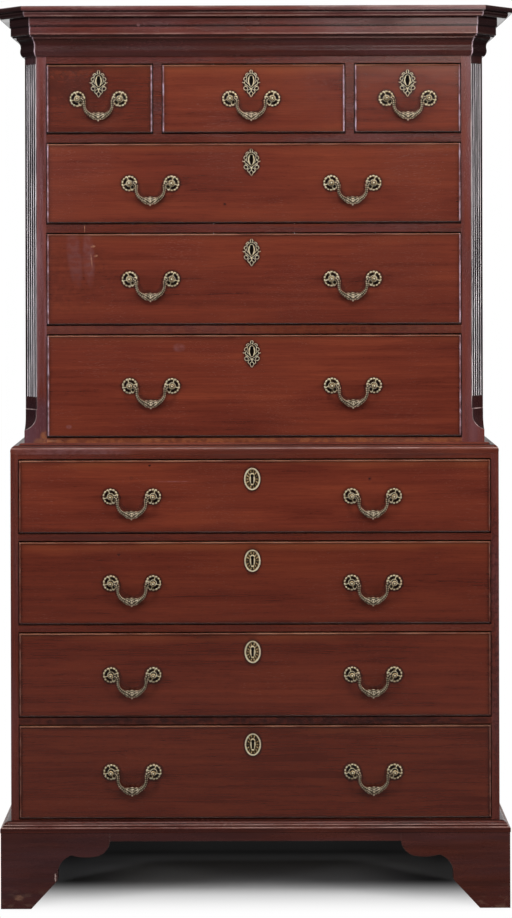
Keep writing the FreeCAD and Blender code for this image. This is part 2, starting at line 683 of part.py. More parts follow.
def upper_running():
    """Runners, guides and stops of the upper case, and kickers over its short drawers."""
    back = f"({UPPER_FRONT} + RailDepth)"
    behind_stile = f"({UPPER_FRONT} + StileDepth)"
    pieces = []
    for number, (floor, head) in enumerate(UPPER_ROWS, start=1):
        thick = "UpperRail" if number > 1 else "(UpperBottomRail - CaseBoard)"
        pieces += pair(f"upper_runner_{number}",
                       (f"{UPPER_OPENING} - RunnerWidth", back, f"{floor} - {thick}"),
                       (UPPER_INSIDE, INNER_BACK, floor))
        pieces += pair(f"upper_guide_{number}", (UPPER_OPENING, behind_stile, floor),
                       (UPPER_INSIDE, INNER_BACK, f"{floor} + GuideHeight"))
    for number, (floor, head) in enumerate(UPPER_ROWS[:-1], start=1):
        for word, share in (("left", "-0.5"), ("right", "0.5")):
            pieces.append(drawer_stop(f"upper_stop_{number}_{word}", f"{share} * {UPPER_OPENING}",
                                      UPPER_FRONT, floor))
    floor, head = UPPER_ROWS[-1]
    pieces += pair("middle_runner", (f"{MIDDLE_OPENING} - RunnerWidth", back, f"{floor} - UpperRail"),
                   (f"{MIDDLE_OPENING} + Divider + RunnerWidth", INNER_BACK, floor))
    pieces += pair("middle_guide", (MIDDLE_OPENING, back, floor),
                   (f"{MIDDLE_OPENING} + Divider", INNER_BACK, f"{floor} + GuideHeight"))
    rail_back = f"({UPPER_FRONT} + TopRailBoard)"
    pieces += pair("side_kicker", (f"{UPPER_OPENING} - RunnerWidth", behind_stile, head),
                   (UPPER_INSIDE, INNER_BACK, f"{head} + KickerHeight"))
    pieces += pair("middle_kicker", (f"{MIDDLE_OPENING} - RunnerWidth", rail_back, head),
                   (f"{MIDDLE_OPENING} + Divider + RunnerWidth", INNER_BACK,
                    f"{head} + KickerHeight"))
    outer_middle = f"({UPPER_OPENING} - ShortDrawer / 2)"
    for word, middle in (("left", f"-{outer_middle}"), ("middle", "0"), ("right", outer_middle)):
        pieces.append(drawer_stop(f"short_stop_{word}", middle, UPPER_FRONT, floor))
    return pieces


# ---------------------------------------------------------------- brasses, made once


def post_pattern():
    """A bolt through the drawer front with a neck and a ball head bored for the bail's pin."""
    shank = rod("post_shank", "PostShank", "FrontBoard + NutHeight", ("0", "0", "0"))
    neck = rod("post_neck", "PostNeck", "PostReach", ("0", "-PostReach", "0"))
    head = bind(DOC.addObject("Part::Sphere", "post_head"), Radius="PostHead")
    place(head, ("0", "-PostReach", "0"))
    solid = joined("post_solid", [shank, neck, head])
    bore = rod("post_bore", "PinRadius + PinGap", "4 * PostHead",
               ("-2 * PostHead", "-PostReach", "0"), "x")
    return cut("post_pattern", solid, [bore])


def rosette_pattern():
    """A round plate with a low dome, bored for its post."""
    rim = rod("rosette_rim", "RosetteRadius", "RosetteRim", ("0", "-RosetteRim", "0"))
    dome = bind(DOC.addObject("Part::Cone", "rosette_dome"), Radius1="RosetteRadius - RosetteRim",
                Radius2="PostNeck + RosetteDome", Height="RosetteDome")
    dome.Placement.Rotation = FreeCAD.Rotation(Vector(1, 0, 0), 90)
    place(dome, ("0", "-RosetteRim", "0"))
    hole = rod("rosette_hole", "PostNeck", "RosetteRim + RosetteDome + 2",
               ("0", "-RosetteRim - RosetteDome - 1", "0"))
    return cut("rosette_pattern", joined("rosette_solid", [rim, dome]), [hole])


def nut_pattern():
    """A square nut with a round hole, behind the drawer front."""
    blank = board("nut_blank", ("-NutRadius", "FrontBoard", "-NutRadius"),
                  ("NutRadius", "FrontBoard + NutHeight", "NutRadius"))
    hole = rod("nut_hole", "PostShank", "NutHeight + 2", ("0", "FrontBoard - 1", "0"))
    return cut("nut_pattern", blank, [hole])


def bail_path():
    """Down one arm, along the grip and up the other arm, with round bends."""
    reach, arm = size("HandleHalf - PostHead - BailGap"), size("BailHalf")
    drop, shoulder, bend = size("BailDrop"), size("BailShoulder"), size("BailBend")
    diagonal = 1 - math.sqrt(0.5)
    right = [
        (reach, 0), (arm + shoulder, 0),
        ((arm + shoulder * diagonal, -shoulder * diagonal), (arm, -shoulder)),
        (arm, -drop + bend),
        ((arm - bend * diagonal, -drop + bend * diagonal), (arm - bend, -drop)),
    ]
    left = [
        (bend - arm, -drop),
        ((bend * diagonal - arm, -drop + bend * diagonal), (-arm, -drop + bend)),
        (-arm, -shoulder),
        ((-arm - shoulder * diagonal, -shoulder * diagonal), (-arm - shoulder, 0)),
        (-reach, 0),
    ]
    edges = outline_edges(right + left, lambda x, z: Vector(x, -size("PostReach"), z))
    return Part.Wire(edges[:-1])


def bail_pattern():
    """A swan-neck bail: bent wire, a leaf at its grip and a pin at each end."""
    path = bail_path()
    start = path.Vertexes[0].Point
    ring = Part.Wire(Part.Circle(start, Vector(-1, 0, 0), size("BailWire")).toShape())
    wire = shaped("bail_wire", path.makePipeShell([ring], True, False))
    # a quarter turn keeps the leaf's seam away from the points where the wire leaves it
    leaf = bind(DOC.addObject("Part::Ellipsoid", "bail_leaf"), Radius1="LeafRise",
                Radius2="LeafThick", Radius3="LeafHalf")
    leaf.Placement.Rotation = FreeCAD.Rotation(UP, 90)
    place(leaf, ("0", "-PostReach", "-BailDrop"))
    root = "(HandleHalf - PostHead - BailGap - PinRadius)"
    tip = "(HandleHalf + PostHead)"
    pins = [
        rod(f"bail_pin_{word}", "PinRadius", f"{tip} - {root}", (x, "-PostReach", "0"), "x")
        for word, x in (("left", f"-{tip}"), ("right", root))
    ]
    return joined("bail_pattern", [wire, leaf] + pins)


def keyhole(name, front_y, back_y):
    """The waste of a keyhole: a round over a slot, through a plate or a board."""
    round_part = rod(f"{name}_round", "KeyRadius", f"({back_y}) - ({front_y})", ("0", front_y, "0"))
    slot = board(f"{name}_slot", ("-KeySlot / 2", front_y, "-KeyFall"), ("KeySlot / 2", back_y, "0"))
    return joined(name, [round_part, slot])


def oval(name, wide, tall, thick, drop):
    """A flat oval plate standing out of the drawer face, its middle below the keyhole's round."""
    ellipse = bind(DOC.addObject("Part::Ellipsoid", f"{name}_round"), Radius1=f"{tall} / 2",
                   Radius2=f"{wide} / 2", Radius3=f"{wide} / 2")
    place(ellipse, ("0", "0", f"-{drop}"))
    slab = board(f"{name}_slab", (f"-{wide}", f"-{thick}", f"-{drop} - {tall}"), (wide, "0", tall))
    plate = DOC.addObject("Part::Common", name)
    plate.Base = ellipse
    plate.Tool = slab
    return plate


def oval_plate_pattern():
    """The lower drawers' key plate."""
    plate = oval("oval_plate", "OvalWide", "OvalTall", "PlateBoard", "OvalKeyRise")
    return cut("oval_plate_pattern", plate, [keyhole("oval_keyhole", "-PlateBoard - 1", "1")])


def cartouche_pattern():
    """The upper drawers' key plate: an oval body with side scrolls and a foot."""
    body = oval("cartouche_body", "CartoucheWide", "CartoucheTall", "PlateBoard",
                "CartoucheKeyRise")
    lobes = [
        rod(f"cartouche_{word}", "CartoucheLobe", "PlateBoard",
            (x, "-PlateBoard", f"{z} - CartoucheKeyRise"))
        for word, x, z in (
            ("left_scroll", "CartoucheLobe - CartoucheTip", "CartoucheLobe"),
            ("right_scroll", "CartoucheTip - CartoucheLobe", "CartoucheLobe"),
            ("foot", "0", "CartoucheLobe - CartoucheFoot"),
            ("crest", "0", "CartoucheFoot - CartoucheLobe"),
        )
    ]
    return cut("cartouche_pattern", joined("cartouche_solid", [body] + lobes),
               [keyhole("cartouche_keyhole", "-PlateBoard - 1", "1")])


def lock_pattern():
    """A drawer lock let into the back of the front, with its key hole."""
    case = board("lock_case", ("-LockWide / 2", "FrontBoard - LockDeep", "-LockTall / 2"),
                 ("LockWide / 2", "FrontBoard", "LockTall / 2"))
    return cut("lock_pattern", case,
               [keyhole("lock_keyhole", "FrontBoard - LockDeep - 1", "FrontBoard - LockDeep / 2")])


# ---------------------------------------------------------------- drawers


def dovetails(name, x_low, x_high, end, root, low, high, count=4):
    """Tails along a board's end: each is wide at its end and narrow at its root."""
    pitch = f"(({high} - {low}) / {count})"
    tails = []
    for number in range(count):
        middle = f"({low} + {pitch} * ({number} + 0.5))"
        wide = f"({pitch} * 3 / 8)"
        narrow = f"({wide} - TailSlope * abs({end} - {root}))"
        backwards = size(end) > size(root)
        first, last = (root, end) if backwards else (end, root)
        first_half, last_half = (narrow, wide) if backwards else (wide, narrow)
        tail = DOC.addObject("Part::Wedge", f"{name}_{number + 1}")
        bind(tail, Xmin=x_low, X2min=x_low, Xmax=x_high, X2max=x_high, Ymin=first, Ymax=last,
             Zmin=f"{middle} - {first_half}", Zmax=f"{middle} + {first_half}",
             Z2min=f"{middle} - {last_half}", Z2max=f"{middle} + {last_half}")
        tails.append(tail)
    return tails


def cockbeads(name, low, high, front):
    """Four round-nosed beads mitred around a drawer front."""
    width, proud = size("BeadWidth"), size("BeadProud")
    nose = proud - width / 2
    steps = [(-width, -size("BeadDepth")), (0, -size("BeadDepth")), (0, nose),
             ((-width / 2, proud), (-width, nose))]
    (x0, z0), (x1, z1), y = [[size(text) for text in corner] for corner in (low, high)] + [size(front)]
    corners = [Vector(x0, y, z0), Vector(x1, y, z0), Vector(x1, y, z1), Vector(x0, y, z1)]
    return moulding(f"{name}_bead", corners, Vector(0, -1, 0), steps, closed=True)


def drawer(name, opening, row, front, handles, key_plate, shift):
    """One drawer: its front with beads, its box and its brasses."""
    plate, key_rise = key_plate
    (left, right), (floor, head) = opening, row
    x0, x1 = f"({left} + SideGap)", f"({right} - SideGap)"
    z0, z1 = f"({floor} + FootGap)", f"({head} - TopGap)"
    side_z0, side_z1 = f"({floor} + RunningGap)", f"({z1} - SideDrop)"
    inner_y = f"({front} + FrontBoard)"
    rear_y = f"({INNER_BACK} - DrawerAir)"
    back_y = f"({rear_y} - DrawerSide)"
    panel_z0 = f"({side_z0} + BottomRise)"
    panel_z1 = f"({panel_z0} + DrawerBottom)"
    middle = f"(({left} + {right}) / 2 - {shift})"
    handle_z = f"(({floor} + {head}) / 2)"
    key_z = f"({head} - PlateDrop + {key_rise})"

    sides, socket_tools = [], []
    back = board(f"{name}_back_board", (x0, back_y, panel_z1), (x1, rear_y, side_z1))
    back_tools = []
    for word, low_x, high_x, groove_low, groove_high in (
        ("left", x0, f"({x0} + DrawerSide)", f"({x0} + DrawerSide - GrooveDepth)",
         f"({x0} + DrawerSide)"),
        ("right", f"({x1} - DrawerSide)", x1, f"({x1} - DrawerSide)",
         f"({x1} - DrawerSide + GrooveDepth)"),
    ):
        plank = board(f"{name}_{word}_plank", (low_x, inner_y, side_z0), (high_x, back_y, side_z1))
        groove = board(f"{name}_{word}_groove", (groove_low, inner_y, panel_z0),
                       (groove_high, back_y, panel_z1))
        front_tails = dovetails(f"{name}_{word}_front_tail", low_x, high_x,
                                f"({front} + BeadDepth + TailLap)", inner_y, z0, side_z1)
        back_tails = dovetails(f"{name}_{word}_back_tail", low_x, high_x,
                               rear_y, back_y, panel_z1, side_z1)
        grooved = cut(f"{name}_{word}_grooved", plank, [groove])
        sides.append(joined(f"{name}_{word}_side", [grooved] + front_tails + back_tails))
        socket_tools += front_tails
        back_tools += back_tails
    inner = [f"({x0} + DrawerSide - GrooveDepth)", f"({x1} - DrawerSide + GrooveDepth)"]
    bottom = board(f"{name}_bottom", (inner[0], inner_y, panel_z0), (inner[1], back_y, panel_z1))
    node(f"{name}_box", sides + [cut(f"{name}_back", back, back_tools), bottom])

    blank = board(f"{name}_blank", (x0, front, z0), (x1, inner_y, z1))
    bead_y = f"({front} + BeadDepth)"
    rim = board(f"{name}_rim", (f"{x0} - 1", f"{front} - 1", f"{z0} - 1"),
                (f"{x1} + 1", bead_y, f"{z1} + 1"))
    field = board(f"{name}_field", (f"{x0} + BeadWidth", f"{front} - 2", f"{z0} + BeadWidth"),
                  (f"{x1} - BeadWidth", f"{bead_y} + 1", f"{z1} - BeadWidth"))
    bores, brasses = [], []
    for number, offset in enumerate(handles, start=1):
        for word, half in (("left", "-HandleHalf"), ("right", "HandleHalf")):
            spot = (f"({middle} + {offset} + {half})", front, handle_z)
            tag = f"{name}_{number}_{word}"
            bores.append(rod(f"{tag}_bore", "PostShank + BoreGap", "FrontBoard + 2",
                             (spot[0], f"{front} - 1", spot[2])))
            brasses += [shaped(f"{tag}_rosette", ROSETTE.Shape, spot),
                        shaped(f"{tag}_post", POST.Shape, spot),
                        shaped(f"{tag}_nut", NUT.Shape, spot)]
    key_spot = (middle, front, key_z)
    bores.append(place(DOC.copyObject(KEYHOLE), key_spot))
    recess = board(f"{name}_recess",
                   (f"{middle} - LockWide / 2", f"{inner_y} - LockDeep", f"{key_z} - LockTall / 2"),
                   (f"{middle} + LockWide / 2", f"{inner_y} + 1", f"{key_z} + LockTall / 2"))
    rebate = cut(f"{name}_rebate", rim, [field])
    face = cut(f"{name}_face", blank, [rebate] + bores + [recess] + socket_tools)
    node(f"{name}_front", [face] + cockbeads(name, (x0, z0), (x1, z1), front))
    brasses += [shaped(f"{name}_plate", plate.Shape, key_spot),
                shaped(f"{name}_lock", LOCK.Shape, key_spot)]
    node(f"{name}_brasses", brasses)

    words = ("bail",) if len(handles) == 1 else ("bail_left", "bail_right")
    for word, offset in zip(words, handles):
        node(f"{name}_{word}", [shaped(f"{name}_{word}_casting", BAIL.Shape,
                                       (f"({middle} + {offset})", front, handle_z))])


# ---------------------------------------------------------------- the whole chest

cornice()
rebated_sides("upper_sides", UPPER_HALF, "UpperSide", f"({UPPER_FRONT} + StileDepth)",
              LOWER_TOP, TOP)
fluted_stiles()
upper_rails()
case_boards()
node("drawer_runners", lower_running() + upper_running())
back_boards("upper_back_boards", UPPER_INSIDE, LOWER_TOP, TOP)
waist_moulding()
rebated_sides("lower_sides", LOWER_HALF, "LowerSide", LOWER_FRONT, "FootHeight", LOWER_TOP)
lower_rails()
back_boards("lower_back_boards", LOWER_INSIDE, "FootHeight", LOWER_TOP)
base_moulding()
bracket_feet()

POST, ROSETTE, NUT = post_pattern(), rosette_pattern(), nut_pattern()
BAIL = bail_pattern()
OVAL = (oval_plate_pattern(), "OvalKeyRise")
CARTOUCHE = (cartouche_pattern(), "CartoucheKeyRise")
LOCK = lock_pattern()
KEYHOLE = keyhole("front_keyhole", "-1", "FrontBoard + 1")
DOC.recompute()

OUTER_SPAN = (f"({UPPER_OPENING} - ShortDrawer)", UPPER_OPENING)
UPPER_SPAN = (f"-{UPPER_OPENING}", UPPER_OPENING)
LOWER_SPAN = (f"-{LOWER_INSIDE}", LOWER_INSIDE)
short_row = UPPER_ROWS[-1]
drawer("upper_drawer_left", (f"-{OUTER_SPAN[1]}", f"-{OUTER_SPAN[0]}"), short_row, UPPER_FRONT,
       ["0"], CARTOUCHE, "2")
drawer("upper_drawer_middle", (f"-{MIDDLE_OPENING}", MIDDLE_OPENING), short_row, UPPER_FRONT,
       ["0"], CARTOUCHE, "BrassShift")
drawer("upper_drawer_right", OUTER_SPAN, short_row, UPPER_FRONT, ["0"], CARTOUCHE, "0")
for number, row in enumerate(reversed(UPPER_ROWS[:-1]), start=2):
    drawer(f"upper_drawer_{number}", UPPER_SPAN, row, UPPER_FRONT,
           ["-UpperHandle", "UpperHandle"], CARTOUCHE, "BrassShift")
for number, row in enumerate(reversed(LOWER_ROWS), start=1):
    drawer(f"lower_drawer_{number}", LOWER_SPAN, row, LOWER_FRONT,
           ["-LowerHandle", "LowerHandle"], OVAL, "BrassShift")

# ---------------------------------------------------------------- checks and files

DOC.recompute()
for thing in DOC.Objects:
    if {"Invalid", "Error"} & set(thing.State):
        raise RuntimeError(f"{thing.Label} failed: {thing.State}")
for group in NODES:
    if group.Shape.isNull() or not group.Shape.isValid() or not group.Shape.Solids:
        raise RuntimeError(f"{group.Label} has no valid solid")
    if min(solid.Volume for solid in group.Shape.Solids) <= 0:
        raise RuntimeError(f"{group.Label} has a solid that is inside out")

os.makedirs("parts", exist_ok=True)
for group in NODES:
    group.Shape.exportStep(f"parts/{group.Label}.step")
    print(f"{group.Label}: {len(group.Shape.Solids)} solids, {group.Shape.Volume / 1000:.0f} cm3")
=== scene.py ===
# %% [markdown]
# # A chest on chest
#
# The cabinet work comes ready made from the imported model: boards, mouldings, drawers, all at
# their real size. This notebook gives the timber its polish, its wear and some painted light and
# shade, and casts the brasses, which are too fine for a joiner's drawing: pierced rosettes, leafy
# swan-neck bails and key plates. Everything is in metres, in the frame of the imported model, with
# the front facing -Y.

# %% Load the frame
import json
import math
import bpy
import numpy as np
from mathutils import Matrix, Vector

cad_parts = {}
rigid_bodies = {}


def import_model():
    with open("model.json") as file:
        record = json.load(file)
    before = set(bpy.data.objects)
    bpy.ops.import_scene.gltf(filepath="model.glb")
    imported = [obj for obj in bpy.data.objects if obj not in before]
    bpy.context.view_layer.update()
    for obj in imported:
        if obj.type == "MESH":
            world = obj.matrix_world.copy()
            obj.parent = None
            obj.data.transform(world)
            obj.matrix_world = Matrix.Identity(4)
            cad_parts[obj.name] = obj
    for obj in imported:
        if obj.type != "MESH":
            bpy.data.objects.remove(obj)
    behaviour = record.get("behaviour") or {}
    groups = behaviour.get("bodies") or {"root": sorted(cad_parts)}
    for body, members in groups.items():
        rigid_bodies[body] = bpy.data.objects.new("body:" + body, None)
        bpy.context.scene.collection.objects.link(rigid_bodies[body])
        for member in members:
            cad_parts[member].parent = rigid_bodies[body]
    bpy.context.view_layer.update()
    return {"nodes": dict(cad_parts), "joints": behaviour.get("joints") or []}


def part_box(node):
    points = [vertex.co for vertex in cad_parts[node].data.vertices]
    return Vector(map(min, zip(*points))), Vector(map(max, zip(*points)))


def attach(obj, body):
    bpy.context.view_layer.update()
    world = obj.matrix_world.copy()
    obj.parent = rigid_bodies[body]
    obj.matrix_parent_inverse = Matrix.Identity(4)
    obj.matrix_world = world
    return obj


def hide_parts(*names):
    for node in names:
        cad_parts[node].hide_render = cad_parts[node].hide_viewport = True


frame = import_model()
MM = 0.001

# %% [markdown]
# ## Where the brasses go
#
# Each handle swings about an axis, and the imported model's joint says where that axis is. The key
# plate hangs a set drop below the top of its drawer. So the handles are placed by the joints and
# the plates by the drawer fronts. Drawers with "upper" in their name have openwork plates.

# %% Drawers and their handles
POST_HALF = 45            # handle's middle to a post, in mm
BEAD_PROUD = 3 * MM       # cockbead out of the drawer face
TOP_GAP = 3 * MM          # drawer front to the rail over it
PLATE_DROP = 43 * MM      # rail to the middle of the key plate
FRONT_BOARD = 20 * MM

DRAWERS = {}
for joint in frame["joints"]:
    if joint["type"] == "hinge":
        DRAWERS.setdefault(joint["parent"], []).append((joint["child"], joint["pos_m"]))


def drawer_face(drawer):
    """The drawer front's edges and face: left, right, bottom, top and the face's y, in metres."""
    low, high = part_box(f"{drawer}_front")
    return low.x, high.x, low.z, high.z, low.y + BEAD_PROUD


def plate_middle(drawer):
    """The key plate's middle on the drawer face."""
    *_, top, face = drawer_face(drawer)
    across = np.mean([place[0] for _, place in DRAWERS[drawer]])
    return np.array([across, face, top + TOP_GAP - PLATE_DROP])


print({drawer: len(bails) for drawer, bails in DRAWERS.items()})

# %% [markdown]
# ## Surfaces from numbers
#
# Every casting is a set of closed skins. A skin is a grid of points: each row is a ring round the
# shape, and the rings follow one another along it. The grid closes on itself, or a fan closes each
# end. A formula on a grid is exact and needs no loop over vertices. Each point carries its relief
# too, 0 in a hollow and 1 on a crest, so that the finish can darken hollows, as patina and painted
# shade, and paint crests pale, as polish and a painted highlight.

# %% A closed skin over a grid
def volume(points, quads, fans):
    """Signed volume: the sum over all triangles of corner . (corner x corner) / 6."""
    triangles = np.concatenate([quads[:, [0, 1, 2]], quads[:, [0, 2, 3]], fans])
    a, b, c = (points[triangles[:, k]] for k in range(3))
    return np.einsum("ij,ij->", a, np.cross(b, c)) / 6


def skin(points, relief, loop=False):
    """A closed surface: quads between neighbouring rings, and a fan over each open end."""
    rows, cols = points.shape[:2]
    here = np.arange(rows * cols).reshape(rows, cols)
    start, end = (here, np.roll(here, -1, 0)) if loop else (here[:-1], here[1:])
    quads = np.stack([start, end, np.roll(end, -1, 1), np.roll(start, -1, 1)], -1).reshape(-1, 4)
    fans = np.zeros((0, 3), int)
    flat, height = points.reshape(-1, 3), np.broadcast_to(relief, (rows, cols)).ravel()
    if not loop:
        tips = len(flat) + np.zeros(cols, int)
        first, last = here[0], here[-1]
        fans = np.concatenate([np.stack([np.roll(first, -1), first, tips], 1),
                               np.stack([last, np.roll(last, -1), tips + 1], 1)])
        flat = np.concatenate([flat, [points[0].mean(0), points[-1].mean(0)]])
        height = np.concatenate([height, [height[:cols].mean(), height[-cols:].mean()]])
    if volume(flat, quads, fans) < 0:
        quads, fans = quads[:, ::-1], fans[:, ::-1]
    return flat, quads, fans, height


def moved(skins, offset, mirror=False):
    """The same skins elsewhere; mirror first swaps left and right and turns the faces back."""
    turn = -1 if mirror else 1
    side = np.array([turn, 1, 1])
    return [(p * side + offset, q[:, ::turn], f[:, ::turn], h) for p, q, f, h in skins]


def placed(name, data):
    """A new object in the scene, at the origin."""
    made = bpy.data.objects.new(name, data)
    bpy.context.scene.collection.objects.link(made)
    return made


def metal_piece(name, skins, body, replaced):
    """One mesh object from many skins given in millimetres, on a body, in place of a CAD node."""
    points, quads, fans, relief = zip(*skins)
    before = np.cumsum([0] + [len(p) for p in points])
    quads, fans = (np.concatenate([corners + count for corners, count in zip(faces, before)])
                   for faces in (quads, fans))
    mesh = bpy.data.meshes.new(name)
    mesh.vertices.add(int(before[-1]))
    mesh.vertices.foreach_set("co", (np.concatenate(points) * MM).astype(np.float32).ravel())
    mesh.loops.add(quads.size + fans.size)
    mesh.loops.foreach_set("vertex_index", np.concatenate([quads.ravel(), fans.ravel()]))
    mesh.polygons.add(len(quads) + len(fans))
    starts = np.concatenate([4 * np.arange(len(quads)), quads.size + 3 * np.arange(len(fans))])
    mesh.polygons.foreach_set("loop_start", starts)
    mesh.update(calc_edges=True)
    mesh.attributes.new("relief", "FLOAT", "POINT").data.foreach_set(
        "value", np.concatenate(relief).astype(np.float32))
    mesh.shade_smooth()
    mesh.set_sharp_from_angle(angle=math.radians(50))
    piece = placed(name, mesh)
    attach(piece, body)
    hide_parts(replaced)
    return piece


TEST_SKIN = skin(np.random.default_rng(0).random((8, 6, 3)), 0.5)
print("8 rings of 6 points make", len(TEST_SKIN[1]), "quads,", len(TEST_SKIN[2]), "triangles")

# %% [markdown]
# ## Ribs, bands and turned work
#
# Three tools draw cast brass. A rib is a scroll on the drawer face: a smooth line through a few
# knots, with half an ellipse for its section. A band is a rib round an ellipse, which may swell
# into beads. Turned work is a profile spun about the axis that stands out of the drawer.

# %% Ribs, bands and turned work
BACK = -0.12     # a section's flat back, as a share of its rise, just inside the wood
RIB_SIDES = 10   # corners of a rib's section


def ring_angles(count):
    """Angles round a ring, without the last one, which is the first again."""
    return np.linspace(0, 2 * math.pi, count, endpoint=False)


def facing(x, out, z):
    """A grid of points at x and z on the drawer face, standing out of it."""
    return np.stack(np.broadcast_arrays(x, -out, z), -1)


def round_axis(radius, a, out):
    """The same for a radius and an angle about the axis that stands out of the drawer."""
    return facing(radius * np.cos(a), out, radius * np.sin(a))


def smooth_line(knots, steps, loop=False):
    """Catmull-Rom: between two knots a cubic whose slope at each is half its neighbours' chord."""
    knot = np.asarray(knots, float)
    if loop:
        longer = np.vstack([knot[-1], knot, knot[:2]])
    else:
        longer = np.vstack([2 * knot[0] - knot[1], knot, 2 * knot[-1] - knot[-2]])
    before, start, end, after = (longer[k:len(longer) - 3 + k, None] for k in range(4))
    s = (np.arange(steps) / steps)[None, :, None]
    line = 0.5 * (2 * start + (end - before) * s + (2 * before - 5 * start + 4 * end - after) * s**2
                  + (3 * start - before - 3 * end + after) * s**3)
    line = line.reshape(-1, knot.shape[1])
    return line if loop else np.vstack([line, knot[-1]])


def sideways(x, z, loop):
    """Unit vectors across a line in the drawer's plane: its slope turned by a right angle."""
    dx, dz = (np.roll(v, -1, 0) - np.roll(v, 1, 0) if loop else np.gradient(v, axis=0)
              for v in (x, z))
    length = np.hypot(dx, dz)
    return -dz / length, dx / length


def rib(knots, rise, loop=False):
    """A scroll through knots of (x, z, half width w).

    At the angle a of its section a point lies w cos a to the side of the line, and the rise times
    the square root of w / widest times sin a out of the face.
    """
    x, z, half = smooth_line(knots, 6, loop).T[..., None]
    nx, nz = sideways(x, z, loop)
    a = ring_angles(RIB_SIDES)
    across, up = half * np.cos(a), np.maximum(np.sin(a), BACK)
    grid = facing(x + nx * across, rise * np.sqrt(half / half.max()) * up, z + nz * across)
    return skin(grid, np.clip(up, 0, 1), loop)


def band(half_x, half_z, half_width, rise, swells, swell):
    """A rib round an ellipse: at angle a its width and rise grow by swell * cos(swells a)."""
    a, f = ring_angles(96)[:, None], ring_angles(RIB_SIDES)
    grow = 1 + swell * np.cos(swells * a)
    nx, nz = half_z * np.cos(a), half_x * np.sin(a)
    across = half_width * grow * np.cos(f) / np.hypot(nx, nz)
    up = np.maximum(np.sin(f), BACK)
    grid = facing(half_x * np.cos(a) + nx * across, rise * grow * up,
                  half_z * np.sin(a) + nz * across)
    return skin(grid, np.clip(up * grow, 0, 1), loop=True)


def turned(profile, relief):
    """A profile of (radius, height out of the face) spun about the axis out of the drawer."""
    radius, out = np.array(profile, float).T[..., None]
    return skin(round_axis(radius, ring_angles(24), out), relief)


print("a rib of three knots has", len(rib([(0, 0, 1), (5, 2, 2), (9, 0, 0.5)], 2)[0]), "points")

# %% [markdown]
# ## The pierced rosette and its post
#
# Under each end of the bail lies a cast rosette about 34 mm across: a rim of leaf tips, four
# kidney-shaped piercings that show the wood, and a collar round the post. A plate with holes would
# need a boolean. Here the metal between two piercings is a spoke, which narrows where the holes
# bulge, so the holes are simply what the four spokes leave open.

# %% Rosette and post
LEAVES = 14          # leaf tips round the rim
RIM_INSIDE, RIM_EDGE, LEAF_TIP = 12.9, 15.3, 2.0
HOLE_MIDDLE, HOLE_HALF, HOLE_ANGLE = 10.4, 3.5, 0.47
SPOKE_TURN = 0.30    # the piercings lie a little off the diagonals
DISH = 6.2           # radius of the dished middle


def rosette_rim():
    """The ring of leaves: its edge at angle a is RIM_EDGE + LEAF_TIP |sin(LEAVES a / 2)|^.6.

    A vein runs out along the middle of each leaf, as a narrow bell of cos(LEAVES a / 2).
    """
    a, f = ring_angles(LEAVES * 12)[:, None], ring_angles(14)
    leaf = np.abs(np.sin(LEAVES / 2 * a)) ** 0.6
    vein = np.exp(-((np.cos(LEAVES / 2 * a) / 0.22) ** 2)) * np.clip(np.cos(f), 0, 1)
    edge = RIM_EDGE + LEAF_TIP * leaf
    radius = (RIM_INSIDE + edge) / 2 + (edge - RIM_INSIDE) / 2 * np.cos(f)
    up = np.maximum(np.sin(f), BACK)
    grid = round_axis(radius, a, (1.5 + 1.9 * leaf - 1.1 * vein) * up)
    return skin(grid, np.clip(up * (0.1 + 0.95 * leaf) - 0.7 * vein, 0, 1), loop=True)


def rosette_spoke(middle):
    """Half its angle is pi/4 less HOLE_ANGLE * sqrt(1 - ((r - HOLE_MIDDLE) / HOLE_HALF)^2)."""
    r, f = np.linspace(DISH, RIM_INSIDE + 1.5, 15)[:, None], ring_angles(16)
    bulge = np.sqrt(np.clip(1 - ((r - HOLE_MIDDLE) / HOLE_HALF) ** 2, 0, 1))
    a = middle + (math.pi / 4 + 0.03 - HOLE_ANGLE * bulge) * np.cos(f)
    up = np.maximum(np.sin(f), BACK)
    folds = np.cos(2 * math.pi * np.cos(f)) * (up > 0)
    grid = round_axis(r, a, (1.9 + 0.6 * bulge + 0.6 * folds) * up)
    return skin(grid, np.clip(up * (0.5 + 0.5 * folds), 0, 1))


# Rim, beaded collar, dished middle and four spokes
ROSETTE = [rosette_rim(), band(6.7, 6.7, 0.9, 3.3, swells=12, swell=0.12),
           turned([(DISH, BACK), (DISH, 1.5), (5.2, 1.1), (3.9, 0.9), (2.0, 0.9)], 0.05)]
ROSETTE += [rosette_spoke(SPOKE_TURN + k * math.pi / 2) for k in range(4)]

# The neck and the head that carries the bail's pin, with a boss at its tip: radius, out, relief
POST_PROFILE = np.array([
    (3.6, 0.2, 0), (3.6, 1.6, 0), (2.9, 3.0, 0), (2.7, 5.5, 0), (3.4, 7.4, 0), (4.7, 9.0, 0.1),
    (5.4, 11.3, 0.3), (5.5, 13.4, 0.45), (5.1, 15.3, 0.5), (4.2, 16.5, 0.7), (3.3, 16.9, 0.3),
    (2.7, 16.6, 0), (2.1, 17.2, 0.7), (1.3, 17.9, 1), (0.4, 18.2, 1)])
POST = [turned(POST_PROFILE[:, :2], POST_PROFILE[:, 2:])]
print("rosette", sum(len(q) for _, q, _, _ in ROSETTE), "quads")

# %% [markdown]
# ## The swan-neck bail
#
# The bail hangs from the posts, swells into a small leaf under each, thins as it falls, and
# thickens again into the leaf that the fingers lift. It is one tube along a smooth line, whose
# radius is a third number of the knots, with shallow flutes that twist along it. The middle leaf
# is an egg with leaflets cut by a folded sine.

